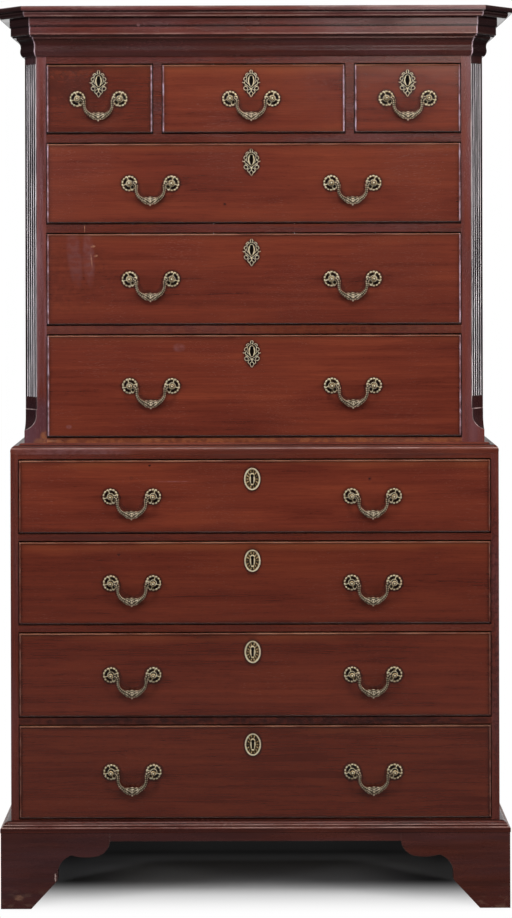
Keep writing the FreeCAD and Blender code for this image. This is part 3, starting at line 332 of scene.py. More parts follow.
# %% The bail
BAIL_DROP = 37
HALF_BAIL = [(40.5, 0.0, 2.1), (37.6, 0.0, 3.2), (34.2, -0.9, 4.3), (31.2, -4.2, 4.3),
             (30.2, -9.0, 3.4), (29.8, -14.5, 2.7), (28.8, -20.0, 2.7), (25.8, -26.4, 3.1),
             (21.0, -31.4, 3.7), (14.4, -35.0, 4.0), (7.5, -36.6, 4.2)]
LEAF_LONG, LEAF_TALL, LEAF_THICK = 19.5, 7.6, 5.4
# Beads on half the leaf: x, out, z from the drop, radius and, if not 1, how tall for its width
LEAF_BEADS = [(4.4, 3.6, 0.5, 1.7), (8.2, 2.8, 1.6, 1.5),
              (4.6, 1.6, -6.0, 1.7, 1.3), (9.0, 1.0, -4.6, 1.5)]
PIN_MIDDLE, PIN_LONG, PIN_RADIUS = 40.0, 5.0, 2.0


def bail_wire():
    """A tube, a little flat, of radius r (1 + .12 cos(5 a + twist) + .06 cos(1.5 s)).

    The arc length s is counted from the middle of the grip, so both halves are alike.
    """
    knots = HALF_BAIL + [(0, -BAIL_DROP, 4.6)] + [(-x, z, r) for x, z, r in HALF_BAIL[::-1]]
    x, z, radius = smooth_line(knots, 7).T[..., None]
    nx, nz = sideways(x, z, False)
    a = ring_angles(20)
    twist = np.sign(x) * np.linspace(0, 9, len(x))[:, None]
    along = np.vstack([[0], np.hypot(np.diff(x, axis=0), np.diff(z, axis=0)).cumsum(0)])
    flute = np.cos(5 * a + twist)
    knuckle = np.cos(1.5 * (along - along[-1] / 2))
    r = radius * (1 + 0.12 * flute + 0.06 * knuckle)
    across = r * np.cos(a)
    grid = facing(x + nx * across, 0.92 * r * np.sin(a), z + nz * across)
    return skin(grid, np.clip(0.38 + 0.36 * flute + 0.26 * knuckle, 0, 1))


def bail_leaf():
    """An egg along the grip, whose radius grows by .3 |sin(4 a + 7 |t|)|^.7 for its leaflets."""
    t, a = np.cos(np.linspace(0.06, math.pi - 0.06, 44))[:, None], ring_angles(40)
    body = (1 - t**2) ** 0.55
    leaflet = np.abs(np.sin(4 * a + 7 * np.abs(t))) ** 0.7
    grow = body * (0.80 + 0.30 * leaflet) * (1 + 0.08 * np.cos(12 * t))
    z = -BAIL_DROP - 0.5 + 1.2 * t**2 + LEAF_TALL * grow * np.cos(a)
    relief = np.clip(1.25 * leaflet - 0.5 + 0.15 * np.cos(12 * t), 0, 1)
    return skin(facing(LEAF_LONG * t, LEAF_THICK * grow * np.sin(a), z), relief)


def bead(x, out, z, radius, tall=1.0):
    """A bead: a small ball, tall times as high as wide, facing the front."""
    t, a = np.linspace(0.12, math.pi - 0.12, 9)[:, None], ring_angles(12)
    return skin(facing(x + radius * np.sin(t) * np.cos(a), out + radius * np.cos(t),
                       z + tall * radius * np.sin(t) * np.sin(a)), 0.9)


# Wire, leaf, a fan of beads on the leaf and a pin at each end, with the axis at the origin
BAIL = [bail_wire(), bail_leaf(), bead(0, 3.9, -BAIL_DROP - 1, 2.2, 1.2),
        bead(0, 1.0, -BAIL_DROP - 8.6, 2.0, 1.5)]
BAIL += [bead(side * x, out, -BAIL_DROP + z, *size)
         for side in (-1, 1) for x, out, z, *size in LEAF_BEADS]
for side in (-1, 1):
    x, a = side * (PIN_MIDDLE + PIN_LONG * np.array([-0.5, 0.5])[:, None]), ring_angles(12)
    BAIL.append(skin(facing(x, -PIN_RADIUS * np.cos(a), PIN_RADIUS * np.sin(a)), 0.3))
print("bail", sum(len(q) for _, q, _, _ in BAIL), "quads")

# %% [markdown]
# ## Key plates
#
# The lower drawers have an oval plate and the upper ones an openwork plate, and both close round a
# real keyhole. Seen from its middle a keyhole has one edge in every direction, so the metal round
# it is a grid between that edge and an ellipse: a share u is 0 at the hole and 1 at the ellipse.

# %% Metal round a keyhole
KEY_RADIUS, KEY_SLOT, KEY_FALL = 3.5, 4.8, 16.0
KEY_DROP = (KEY_FALL - KEY_RADIUS) / 2          # the round's centre down to the hole's middle
OVAL_RISE, OPENWORK_RISE = 6.3, 12.0            # plate's middle up to the round's centre


def keyhole_edge(a):
    """From the hole's middle to its edge: the slot's side or floor, or the round if farther."""
    c, s = np.cos(a), np.sin(a)
    side = KEY_SLOT / 2 / np.maximum(np.abs(c), 1e-6)
    floor = (KEY_FALL - KEY_DROP) / np.maximum(-s, 1e-6)
    head = KEY_DROP / np.maximum(s, 1e-6)
    chord = KEY_RADIUS**2 - (KEY_DROP * c) ** 2
    round_part = np.where((chord > 0) & (s > 0), KEY_DROP * s + np.sqrt(np.maximum(chord, 0)), 0)
    return np.maximum(np.minimum(side, np.minimum(floor, head)), round_part)


def key_surround(half_x, half_z, middle_z, height):
    """A plate from the keyhole's edge to an ellipse, height(u, a) high and flat at the back."""
    a = ring_angles(120)[:, None]
    u = np.concatenate([(1 - np.cos(np.linspace(0, math.pi, 26))) / 2, [1, 0.5, 0]])
    hole = keyhole_edge(a)
    inner_x, inner_z = hole * np.cos(a), middle_z + hole * np.sin(a)
    outer_x, outer_z = half_x * np.cos(a), half_z * np.sin(a)
    out = np.where(np.arange(u.size) < 26, height(u, a), BACK)
    grid = facing(inner_x + (outer_x - inner_x) * u, out, inner_z + (outer_z - inner_z) * u)
    return skin(grid, np.clip(out / 2.4, 0, 1), loop=True)


def ridge(u, at, width):
    """A rounded ridge: exp(-((u - at) / width)^2)."""
    return np.exp(-(((u - at) / width) ** 2))


print("keyhole edge right, up, left, down:", keyhole_edge(ring_angles(4)).round(2), "mm")

# %% [markdown]
# ### The oval plate
#
# The oval has a ridge round the keyhole, short rays on a sunk ground and a beaded rim. Its height
# is a sum of ridges over the share u, and the rays and beads are cosines of the angle.

# %% Oval plate
def oval_height(u, a):
    """A ring round the keyhole, rays on the ground, and a rim that rises by cos(34 a)."""
    rays = ridge(u, 0.52, 0.2) * np.clip(np.cos(14 * a), 0, 1) ** 2
    beads = ridge(u, 0.88, 0.10) * (1 + 0.28 * np.cos(34 * a))
    return 0.5 + 1.7 * ridge(u, 0.13, 0.11) + rays + 1.8 * beads


OVAL = [key_surround(17.2, 23.6, OVAL_RISE - KEY_DROP, oval_height),
        band(16.3, 22.7, 1.1, 2.6, swells=36, swell=0.2)]
print("oval plate", sum(len(q) for _, q, _, _ in OVAL), "quads")

# %% [markdown]
# ### The openwork plate
#
# The openwork is mirrored left to right, so only its right half is drawn, as ribs through
# listed knots of (x, z, half width). The gaps between the ribs are the piercings.

# %% Openwork plate
RIGHT_SCROLLS = [
    [(0.6, 20.8, 0.6), (4.4, 20.4, 1.1), (8.0, 17.9, 1.4), (9.8, 13.9, 1.2), (9.0, 10.2, 0.8)],
    [(1.4, 21.4, 1.3), (2.6, 24.6, 1.4), (1.9, 27.6, 1.0), (0.6, 28.9, 0.6)],
    [(5.2, 21.8, 0.9), (8.8, 21.6, 1.4), (11.4, 19.0, 1.3), (11.2, 16.2, 0.8)],
    [(8.8, 13.6, 0.8), (12.4, 13.6, 1.3), (15.2, 11.2, 1.4), (15.4, 8.0, 1.2), (12.6, 6.2, 0.8)],
    [(12.0, 6.8, 0.8), (13.4, 3.4, 1.2), (16.2, 1.6, 1.5), (19.2, 2.8, 0.7)],
    [(9.2, 10.4, 0.8), (10.4, 6.4, 1.1), (9.2, 2.4, 1.2), (6.4, -1.0, 0.9)],
    [(14.4, 1.4, 0.9), (12.6, -1.8, 1.3), (9.2, -3.6, 1.2), (6.2, -6.6, 1.0), (3.4, -8.2, 0.8)],
    [(8.4, -5.0, 0.8), (11.4, -5.6, 1.2), (13.4, -3.9, 0.7)],
    [(0.0, -12.6, 0.9), (3.0, -12.2, 1.1), (5.6, -13.4, 1.0), (7.4, -15.6, 0.8)],
    [(6.6, -13.6, 0.8), (8.2, -17.4, 1.2), (6.2, -20.6, 1.2), (3.4, -22.4, 0.8)],
]
SIDE_LOOP = [(12.2, -6.4, 1.2), (15.6, -8.6, 1.2), (14.8, -12.4, 1.2), (11.2, -14.2, 1.2),
             (7.8, -12.6, 1.2), (8.2, -8.6, 1.2)]
DROP_LOOP = [(0, -17.0, 1.0), (3.9, -20.6, 1.3), (2.4, -25.0, 1.2), (0, -28.4, 0.9),
             (-2.4, -25.0, 1.2), (-3.9, -20.6, 1.3)]


def collar_height(u, a):
    """A ridge round the keyhole that rises and falls by cos(18 a)."""
    return 0.1 + 2.4 * ridge(u, 0.66, 0.28) * (1 + 0.15 * np.cos(18 * a))


THIN = np.array([1, 1, 0.7])     # leaves the knots' places and narrows the ribs
HALF = [rib(np.array(knots) * THIN, 2.3) for knots in RIGHT_SCROLLS]
HALF.append(rib(np.array(SIDE_LOOP) * THIN, 2.2, loop=True))
OPENWORK = HALF + moved(HALF, np.zeros(3), mirror=True) + [
    rib(np.array(DROP_LOOP) * THIN, 2.3, loop=True),
    rib([(-3.2, -8.4, 0.9), (0, -11.0, 1.3), (3.2, -8.4, 0.9)], 2.0),
    rib([(0, -11.6, 1.0), (0.2, -14.6, 1.5), (0, -17.6, 0.9)], 2.2)]
OPENWORK += moved([key_surround(7.7, 12.6, 0, collar_height)],
                  np.array([0, 0, OPENWORK_RISE - KEY_DROP]))
print("openwork plate", sum(len(q) for _, q, _, _ in OPENWORK), "quads")

# %% [markdown]
# ## Behind the front: nuts and the lock
#
# An open drawer shows the other side of its brasses: a square nut on each post, and the lock, let
# in flush, with four screws and its bolt at the top. They are blocks with eased edges: the block's
# outline, drawn in a little at each end.

# %% Nuts and lock
INNER = -FRONT_BOARD / MM        # the front's inner face


def block(half_x, half_z, front, back, relief, middle_z=0, ease=0.5):
    """A block from out = front to back: rings of its outline, the end ones smaller by ease."""
    a = ring_angles(32)
    square = np.maximum(np.abs(np.cos(a)), np.abs(np.sin(a)))
    unit_x, unit_z = np.cos(a) / square, np.sin(a) / square
    outs = np.array([front, front - ease, back + ease, back])[:, None]
    draw = np.array([ease, 0, 0, ease])[:, None]
    return skin(facing((half_x - draw) * unit_x, outs, middle_z + (half_z - draw) * unit_z), relief)


def screw_head(x, z, radius, out):
    """A screw head, sunk for its slot where |height| is under a sixth of its radius."""
    r, a = np.array([1, 1, 0.86, 0.5, 0.1])[:, None] * radius, ring_angles(36)
    slot = np.abs(r * np.sin(a)) < radius / 6
    rise = np.array([0.2, -0.25, -0.4, -0.4, -0.4])[:, None]
    grid = facing(x + r * np.cos(a), out + rise + 0.3 * slot * (rise < 0), z + r * np.sin(a))
    return skin(grid, np.where(slot, 0.1, 0.8))


# The lock's case, bolt, pin boss and screws about the keyhole's round, and a nut on its bolt's end
KEY_PIN = [(3.4, INNER + 1), (3.4, INNER - 0.5), (2.4, INNER - 0.9), (0.4, INNER - 0.9)]
BOLT_END = [(2.9, INNER + 19), (2.9, INNER - 4.6), (2.2, INNER - 5.2), (0.4, INNER - 5.2)]
LOCK = [block(29.8, 22.8, INNER + 11.8, INNER + 0.1, np.array([0, 0.1, 0.35, 0.4])[:, None]),
        block(8, 1.6, INNER + 7.5, INNER + 3.0, 0.9, middle_z=22.4), turned(KEY_PIN, 0.8)]
LOCK += [screw_head(x, z, 2.4, INNER) for x in (-24, 24) for z in (-17, 17)]
NUT = [block(6.6, 6.6, INNER, INNER - 4, 0.5), turned(BOLT_END, 0.4)]
print("the lock has", len(LOCK), "skins and a nut", len(NUT))

# %% [markdown]
# ## Set the brasses
#
# One object holds the fixed brasses of a drawer. Each bail is its own object, because it swings.
# The skins, in millimetres about their own middles, are moved to their places here, so every
# finished object sits at the origin with its place in its mesh.

# %% Set the brasses on every drawer
BRASSES = []
for drawer, bails in DRAWERS.items():
    plate = plate_middle(drawer) / MM
    key_plate, rise = (OPENWORK, OPENWORK_RISE) if "upper" in drawer else (OVAL, OVAL_RISE)
    skins = moved(key_plate, plate) + moved(LOCK, plate + [0, 0, rise])
    for bail_name, place in bails:
        axis = np.array(place) / MM
        for side in (-1, 1):
            spot = np.array([axis[0] + side * POST_HALF, plate[1], axis[2]])
            skins += moved(ROSETTE, spot, mirror=side > 0) + moved(POST + NUT, spot)
        BRASSES.append(metal_piece(f"{bail_name}_brass", moved(BAIL, axis), bail_name, bail_name))
    BRASSES.append(metal_piece(f"{drawer}_fittings", skins, drawer, f"{drawer}_brasses"))
print(len(BRASSES), "brass pieces,", sum(len(p.data.polygons) for p in BRASSES), "faces")

# %% [markdown]
# ## Writing a finish as arithmetic
#
# A finish is a graph of shader nodes. Wired by hand it takes a page for one line of thought, so a
# small class stands for one output of a node and lets Python's own signs make the Math nodes:
# `1 - mask * 0.5` adds two. Every other node comes from its one method `node`.

# %% A wire between shader nodes
def operator(operation, swapped=False):
    """The method that makes a Math node of this wire and, for most operations, another value."""
    def method(wire, other=0.0):
        pair = (other, wire) if swapped else (wire, other)
        return wire.node("Math", dict(enumerate(pair)), operation=operation)
    return method


class Wire:
    """One output socket of a shader node; + - * / on it add Math nodes."""

    def __init__(self, tree, socket=None):
        self.tree, self.socket = tree, socket

    def node(self, kind, inputs=(), output=0, stops=(), **settings):
        """A new node: its settings, the stops of its ramp, then its inputs by name or number."""
        made = self.tree.nodes.new("ShaderNode" + kind)
        for name, value in settings.items():
            setattr(made, name, value)
        for _ in stops[2:]:
            made.color_ramp.elements.new(0.5)
        for stop, (position, colour) in enumerate(stops):
            element = made.color_ramp.elements[stop]
            element.position, element.color = position, colour
        for key, value in dict(inputs).items():
            if isinstance(value, Wire):
                self.tree.links.new(value.socket, made.inputs[key])
            else:
                made.inputs[key].default_value = value
        return Wire(self.tree, made.outputs[output] if made.outputs else None)

    def out(self, name):
        """Another output of the same node."""
        return Wire(self.tree, self.socket.node.outputs[name])

    __add__ = __radd__ = operator("ADD")
    __mul__ = __rmul__ = operator("MULTIPLY")
    __sub__, __rsub__ = operator("SUBTRACT"), operator("SUBTRACT", swapped=True)
    __truediv__, __abs__ = operator("DIVIDE"), operator("ABSOLUTE")
    least, root, cosine = operator("MINIMUM"), operator("SQRT"), operator("COSINE")

    def step(self, start, end):
        """0 before start and 1 after end, smooth between; start may be the larger one."""
        return self.node("MapRange", {"Value": self, "From Min": start, "From Max": end},
                         interpolation_type="SMOOTHSTEP")

    def blend(self, first, second):
        """The first colour where this is 0, the second where it is 1."""
        return self.node("Mix", {"Factor": self, 6: first, 7: second}, output=2, data_type="RGBA")

    def noise(self, scale, seed, detail=2.0, roughness=0.5):
        """Noise of this place, its axes scaled apart, shifted by a seed; 0.5 on average."""
        shift = (seed * 1.37, seed * 0.73, seed * 2.11)
        place = self.node("VectorMath", {0: self, 1: scale, 2: shift}, operation="MULTIPLY_ADD")
        return self.node("TexNoise", {"Vector": place, "Scale": 1.0, "Detail": detail,
                                      "Roughness": roughness})


def srgb(red, green, blue):
    """A colour as a screen shows it, 0 to 255, turned to the linear light that shaders work in."""
    c = np.array([red, green, blue]) / 255
    linear = np.where(c <= 0.04045, c / 12.92, ((c + 0.055) / 1.055) ** 2.4)
    return (*linear.tolist(), 1.0)


def shade(colour, factor):
    """The colour made darker or lighter by a factor."""
    return tuple(c * factor for c in colour[:3]) + (1.0,)


def grey(level):
    """A neutral colour at a linear level."""
    return (level, level, level, 1.0)


def fresh_tree(owner):
    """A wire in the emptied node tree of a material or a world."""
    owner.use_nodes = True
    owner.node_tree.nodes.clear()
    return Wire(owner.node_tree)


def new_finish(name):
    """An empty material and the wire of its Object coordinates, which are the frame's metres."""
    material = bpy.data.materials.new(name)
    return material, fresh_tree(material).node("TexCoord", output="Object")


def paint(colour, *coats):
    """The colour with each coat over it in turn: a mask and a tint, one after the other."""
    for mask, tint in zip(coats[::2], coats[1::2]):
        colour = mask.blend(colour, tint)
    return colour


def put_surface(place, inputs):
    """The Principled surface of a finish and its output node."""
    surface = place.node("BsdfPrincipled", inputs)
    place.node("OutputMaterial", {"Surface": surface})


print("srgb(128, 128, 128) is", [round(v, 3) for v in srgb(128, 128, 128)])

# %% [markdown]
# ## Old brass
#
# Two hundred years of polishing leave lacquer-bright crests and brown-green hollows. The relief
# that every skin carries drives both colour and roughness, with a blotchy noise so that no two
# castings tarnish alike. The darkest tint is patina and painted shade, and the palest, near white,
# is a painted highlight.

# %% Brass finish
def brass_finish(name, *tints):
    """Brass whose four tints lie at 0, 0.3, 0.65 and 1 of its brightness, a step on its relief.

    The darkest tint is patina and painted shade, the palest a painted highlight.
    """
    material, place = new_finish(name)
    relief = place.node("Attribute", output="Fac", attribute_name="relief")
    blotch = place.noise((160, 160, 160), 3.0, detail=3)
    bright = (relief + (blotch - 0.5) * 0.7).step(0.12, 0.85)
    colour = bright.node("ValToRGB", {"Fac": bright}, stops=[
        (at, srgb(*tint)) for at, tint in zip((0.0, 0.30, 0.65, 1.0), tints)])
    grit = place.noise((700, 700, 700), 8.0)
    normal = place.node("Bump", {"Height": grit, "Strength": 0.4, "Distance": 0.0004})
    put_surface(place, {"Base Color": colour, "Metallic": 0.12 + 0.38 * bright,
                        "Roughness": 0.55 - 0.27 * bright, "Normal": normal})
    return material


# Tints from dark to pale: the darkest is patina and painted shade, the palest a painted highlight
PLATE_BRASS = brass_finish(
    "plate_brass", (18, 11, 7), (92, 69, 40), (240, 208, 152), (255, 248, 220))
BAIL_BRASS = brass_finish(
    "bail_brass", (26, 20, 14), (92, 76, 56), (172, 152, 122), (240, 226, 200))
for fitting in BRASSES:
    fitting.data.materials.append(BAIL_BRASS if "_bail" in fitting.name else PLATE_BRASS)
print(len(BRASSES), "brasses finished")

# %% [markdown]
# ## Mahogany
#
# The timber is red-brown mahogany under old wax polish. Three noises stretched along the grain make
# it, a broad cloud, ribbons a finger wide and fine lines, over dark pores like pencil dashes. An
# arris is tinted: paler as wear and as a painted highlight, darker as painted shade on the cornice
# and base. The polish is nearly a mirror, smudged in places. A Bevel node rounds the arrises by
# turning the normals near an edge; a Bevel modifier would have to weld the imported mesh.

# %% Mahogany finish
MAHOGANY = srgb(88, 35, 26), srgb(112, 48, 34), srgb(132, 60, 40)      # dark, middle, pale
# Rubbed timber; then a dark brown used for dirt, and also for painted shade at beads and mouldings
WORN, DIRT_AND_SHADE = srgb(158, 92, 58), srgb(34, 17, 16)
PAINTED_SHADE, PAINTED_HIGHLIGHT = srgb(20, 10, 12), srgb(190, 158, 148)     # painted shade, and a pale tint for painted highlights


def grain_place(place, run):
    """The place as (along, across, through) the grain, which runs along an axis or round a case."""
    split = place.node("SeparateXYZ", {0: place})
    x, y, z = split, split.out("Y"), split.out("Z")
    order = {"x": (x, z, y), "z": (z, x, y), "y": (y, z, x), "round": (x + y, z, 0.0)}[run]
    return place.node("CombineXYZ", dict(enumerate(order))), (x, y, z)


def mahogany(name, run, seed, tone, warmth, shaped, rough=0.15, ease=0.9, gloss=1.0, arris=WORN):
    """Mahogany with its grain along run.

    shaped() adds a piece's own wear and painted light and shade, and says how dull.
    """
    material, place = new_finish(name)
    grain, (x, y, z) = grain_place(place, run)
    cloud = grain.noise((3.2, 14, 14), seed, detail=4, roughness=0.6)
    bend = grain.node("CombineXYZ", {1: cloud * 0.02, 2: cloud * 0.02})
    bent = grain.node("VectorMath", {0: grain, 1: bend}, operation="ADD")
    ribbon = bent.noise((2.5, 95, 95), seed + 4, detail=3)
    lines = bent.noise((9, 620, 620), seed + 7, detail=2)
    pores = bent.noise((60, 2400, 2400), seed + 9).step(0.60, 0.72)
    level = cloud * 0.42 + ribbon * 0.34 + lines * 0.24
    colour = level.node("ValToRGB", {"Fac": level}, stops=[
        (at, shade(tint, tone)) for at, tint in zip((0.34, 0.50, 0.66), MAHOGANY)])
    colour = paint(colour, cloud.step(0.3, 0.8) * warmth, shade(srgb(132, 66, 38), tone),
                   pores * 0.45, shade(MAHOGANY[0], 0.5 * tone))
    eased = place.node("Bevel", {"Radius": ease * MM}, samples=4)
    geometry = place.node("NewGeometry", output="Normal")
    alike = place.node("VectorMath", {0: eased, 1: geometry}, "Value", operation="DOT_PRODUCT")
    rub = grain.noise((14, 60, 60), seed + 13, detail=3).step(0.35, 0.7)
    # The arris tint: a pale one is wear and a painted highlight, a dark one is painted shade
    edge_wear_and_light = (1 - alike).step(0.01, 0.2) * (0.25 + 0.55 * rub)
    colour = paint(colour, edge_wear_and_light, shade(arris, tone))
    colour, dull = shaped(colour, grain, x, y, z, rub)
    smudge = place.noise((7, 7, 5), seed + 21, detail=3).step(0.4, 0.75)
    waves = place.noise((16, 16, 16), seed + 5) * 0.6 + lines * 0.05 - pores * 0.03
    normal = place.node("Bump", {"Height": waves, "Strength": 0.35, "Distance": 0.0012,
                                 "Normal": eased})
    roughness = rough + 0.08 * smudge + 0.10 * pores + dull * 0.4
    put_surface(place, {"Base Color": colour, "Roughness": roughness, "IOR": 1.65,
                        "Specular IOR Level": gloss, "Normal": normal})
    return material


def clothe(node, material):
    """Gives a CAD node a finish through its own material slot."""
    frame["nodes"][node].material_slots[0].material = material


print("red of mahogany, dark to pale:", [round(tint[0], 3) for tint in MAHOGANY])

# %% [markdown]
# ### Drawer fronts
#
# Each front was sawn from its own board, so each has its own seed and tone. Its wear follows use:
# the strip under the top bead is rubbed orange by hands and by the key, and polish builds up dark
# round the brasses, where a cloth can't reach. Light is painted too: shade behind the beads, on the
# bottom bead and under the brasses, each bail's shadow, and highlights on the top and side beads.

# %% Drawer fronts
FRONTS = {   # tone, warmth, wear of the strip under the top bead
    "upper_drawer_left": (0.67, 0.05, 0.25), "upper_drawer_middle": (0.92, 0.36, 0.50),
    "upper_drawer_right": (0.90, 0.20, 0.35), "upper_drawer_2": (0.92, 0.22, 0.30),
    "upper_drawer_3": (0.91, 0.12, 0.20), "upper_drawer_4": (0.96, 0.10, 0.25),
    "lower_drawer_1": (0.98, 0.10, 0.60), "lower_drawer_2": (0.84, 0.10, 0.65),
    "lower_drawer_3": (0.80, 0.08, 0.40), "lower_drawer_4": (0.68, 0.05, 0.30),
}


def spot_mask(x, z, middle, half_x, half_z, start, end, lean=0.0):
    """1 in an oval spot and 0 outside: a step on u^2 + v^2, the shares of its two halves, in mm.

    A spot may lean: u is then measured from the line that lies lean times the rise to the side.
    """
    rise = z - middle[1]
    u, v = (x - middle[0] - rise * lean) / (half_x * MM), rise / (half_z * MM)
    return (u * u + v * v).step(end, start)


PLUG, BLOOM, CHIP = srgb(70, 34, 30), srgb(140, 98, 100), srgb(190, 140, 110)
MARKS = {    # middle x, z and half width, half height in mm, colour, strength
    "lower_drawer_1_front": [(-261, 905, 4, 4, PLUG, 0.7), (244, 903, 4, 4, PLUG, 0.7),
                             (-171, 898, 40, 0.9, BLOOM, 0.6), (-222, 932, 3, 2.5, DIRT_AND_SHADE, 0.8)],
    "lower_drawer_2_front": [(-288, 744, 4, 4, PLUG, 0.7)],
    "upper_drawer_left_front": [(-395, 1756, 70, 50, DIRT_AND_SHADE, 0.35)],
    "upper_drawer_2_front": [(-62, 1485, 4, 4, DIRT_AND_SHADE, 0.6)],
    "upper_drawer_3_front": [
        (-400, 1330, 110, 80, DIRT_AND_SHADE, 0.22), (-382, 1374, 15, 60, BLOOM, 0.20, -0.1),
        (-352, 1372, 12, 54, BLOOM, 0.26, -0.05), (-343, 1396, 5, 2.5, CHIP, 0.5, 0.6),
        (-337, 1376, 4, 2.5, CHIP, 0.45, 0.5), (-346, 1366, 1.4, 14, CHIP, 0.4, -0.1)],
    "upper_drawer_4_front": [(-160, 1180, 12, 9, BLOOM, 0.3), (-395, 1012, 6, 4, BLOOM, 0.4)],
    "upper_rails": [(-360.5, 1434, 0.8, 8, CHIP, 0.9), (-434, 982, 14, 1.4, CHIP, 0.9),
                    (0, 981, 900, 7, WORN, 0.6), (0, 1220, 900, 9, WORN, 0.15)],
    "lower_rails": [(0, 391, 620, 9, DIRT_AND_SHADE, 0.8)],
    "bracket_feet": [
        (-422, 66, 1.6, 8, srgb(236, 206, 196), 0.9), (-500, 24, 10, 6, CHIP, 0.25)],
    "fluted_stiles": [
        (-448, 984, 9, 20, srgb(150, 92, 58), 0.75), (-462, 980, 9, 9, srgb(140, 88, 58), 0.5)],
    "cornice_moulding": [(-243, 1864, 3.5, 3, BLOOM, 0.8)],
    "waist_moulding": [(-395, 958, 130, 12, BLOOM, 0.35)],
    "lower_sides": [(508, 560, 10, 340, DIRT_AND_SHADE, 0.45)],
}


def marked(colour, node, grain, x, z):
    """The plugs, scratches, chips and smudges of one node: oval spots, broken up by noise."""
    ragged = 0.35 + 0.65 * grain.noise((90, 90, 90), 37.0, detail=3).step(0.38, 0.6)
    for across, up, half_x, half_z, tint, strength, *lean in MARKS.get(node, ()):
        spot = spot_mask(x, z, (across * MM, up * MM), half_x, half_z, 0.2, 1.6, *lean)
        colour = paint(colour, spot * ragged * strength, tint)
    return colour


def drawer_wear_and_light(drawer, rubbed):
    """The wear and the painted light and shade of one front, as a function for mahogany()."""
    left, right, bottom, top, face = drawer_face(drawer)
    key = plate_middle(drawer)[[0, 2]]
    pulls = [(place[0], place[2]) for _, place in DRAWERS[drawer]]
    posts = [(across + side * POST_HALF * MM, up) for across, up in pulls for side in (-1, 1)]
    # The tint of the painted highlight on the side beads
    side_bead_highlight = srgb(204, 180, 196) if "upper" in drawer else srgb(120, 88, 80)

    def shaped(colour, grain, x, y, z, rub):
        """Rubbed strip, painted shade at the beads, polish and painted shadow round the brasses,
        then painted highlights and shade on the beads themselves.
        """
        strip = (top - z).step(26 * MM, 5 * MM) * grain.noise((5, 40, 40), 31.0).step(0.3, 0.6)
        side_edge = (x - left).least(right - x)
        edge = side_edge.least((z - bottom).least(top - z))
        halo = spot_mask(x, z, key, 19, 29, 0.7, 1.5)
        shade_under_brass = spot_mask(x, z, key, 15.5, 25.5, 0.8, 1.1)
        for post in posts:
            halo = halo + spot_mask(x, z, post, 18, 18, 0.8, 1.8)
            shade_under_brass = shade_under_brass + spot_mask(x, z, post, 16, 16, 0.8, 1.1)
        # Each bail's painted shadow: a ring round it, below its axis only
        for pull in pulls:
            u, v = (x - pull[0]) / (31 * MM), (z - pull[1]) / (36 * MM)
            ring = abs((u * u + v * v).root() - 1.0).step(0.42, 0.1)
            halo = halo + ring * v.step(0.1, -0.1)
        front = y.step(face + 5 * MM, face + 3 * MM)
        colour = paint(
            colour, strip * rubbed, srgb(138, 72, 44),
            # painted shade within 14 mm of the edges, behind the beads
            edge.step(14 * MM, 4 * MM) * 0.18, DIRT_AND_SHADE,
            edge.step(3.6 * MM, 2.6 * MM) * rub * 0.35, WORN,
            # darker round the brasses: built-up polish, and each bail's painted shadow
            halo.least(1.0) * 0.48, DIRT_AND_SHADE,
            # painted shade on the wood under the plates and rosettes
            shade_under_brass.least(1.0) * 0.9, srgb(18, 10, 8),
            # painted highlight on the side beads
            front * side_edge.step(3.6 * MM, 2.8 * MM) * (0.15 + 0.65 * rub), side_bead_highlight,
            # painted shade on the bottom bead
            front * (z - bottom).step(4.0 * MM, 3.0 * MM) * 0.9,
            PAINTED_SHADE if "upper" in drawer else DIRT_AND_SHADE,
            # painted highlight, with wear, on the top bead
            front * (top - z).step(4.4 * MM, 3.0 * MM) * (0.15 + 0.55 * rub), srgb(160, 112, 88))
        return marked(colour, f"{drawer}_front", grain, x, z), 0.0
    return shaped


for number, (drawer, (tone, warmth, rubbed)) in enumerate(FRONTS.items()):
    clothe(f"{drawer}_front", mahogany(f"mahogany_{drawer}", "x", 3.1 + 5.7 * number, tone, warmth,
                                       drawer_wear_and_light(drawer, rubbed)))
print(len(FRONTS), "fronts polished")

# %% [markdown]
# ### Case timber
#
# Rails run across, stiles and sides stand upright, and a moulding's grain follows it round the
# corner, so it runs along x + y. The feet have drunk a century of mop water and are nearly black.
# Up a moulding, painted shade lies in each hollow and a painted highlight on each edge, so its
# bands are a list of heights. The canted corners lie between two mitre lines, and are painted darker
# than the front, as shade.

# %% Case timber
# The tint of a painted sheen: light reflected in the polish, in lilac
LILAC = srgb(120, 84, 92)
CANT_MIDDLE = (476 * MM, -206 * MM)     # the canted corner's middle: |x| and y
CANT_EDGE, CANT_SIZE = 462 * MM, 28 * MM    # |x| of the cant's front edge, and how far it goes
CASE_FRONT = -220 * MM                  # y of the upper case's front
FLUTE_PITCH, FLUTED_HALF = 7 * MM, 17.6 * MM
FLUTE_FOOT, FLUTE_HEAD = 1076 * MM, 1785 * MM
SHOULDER = 1050 * MM                    # the lamb's-tongue stop's shoulder
FILLET_FOOT = 1891 * MM                 # the cornice's top fillet
TOP_FACE = 1901.3 * MM                  # just under the cornice's top face


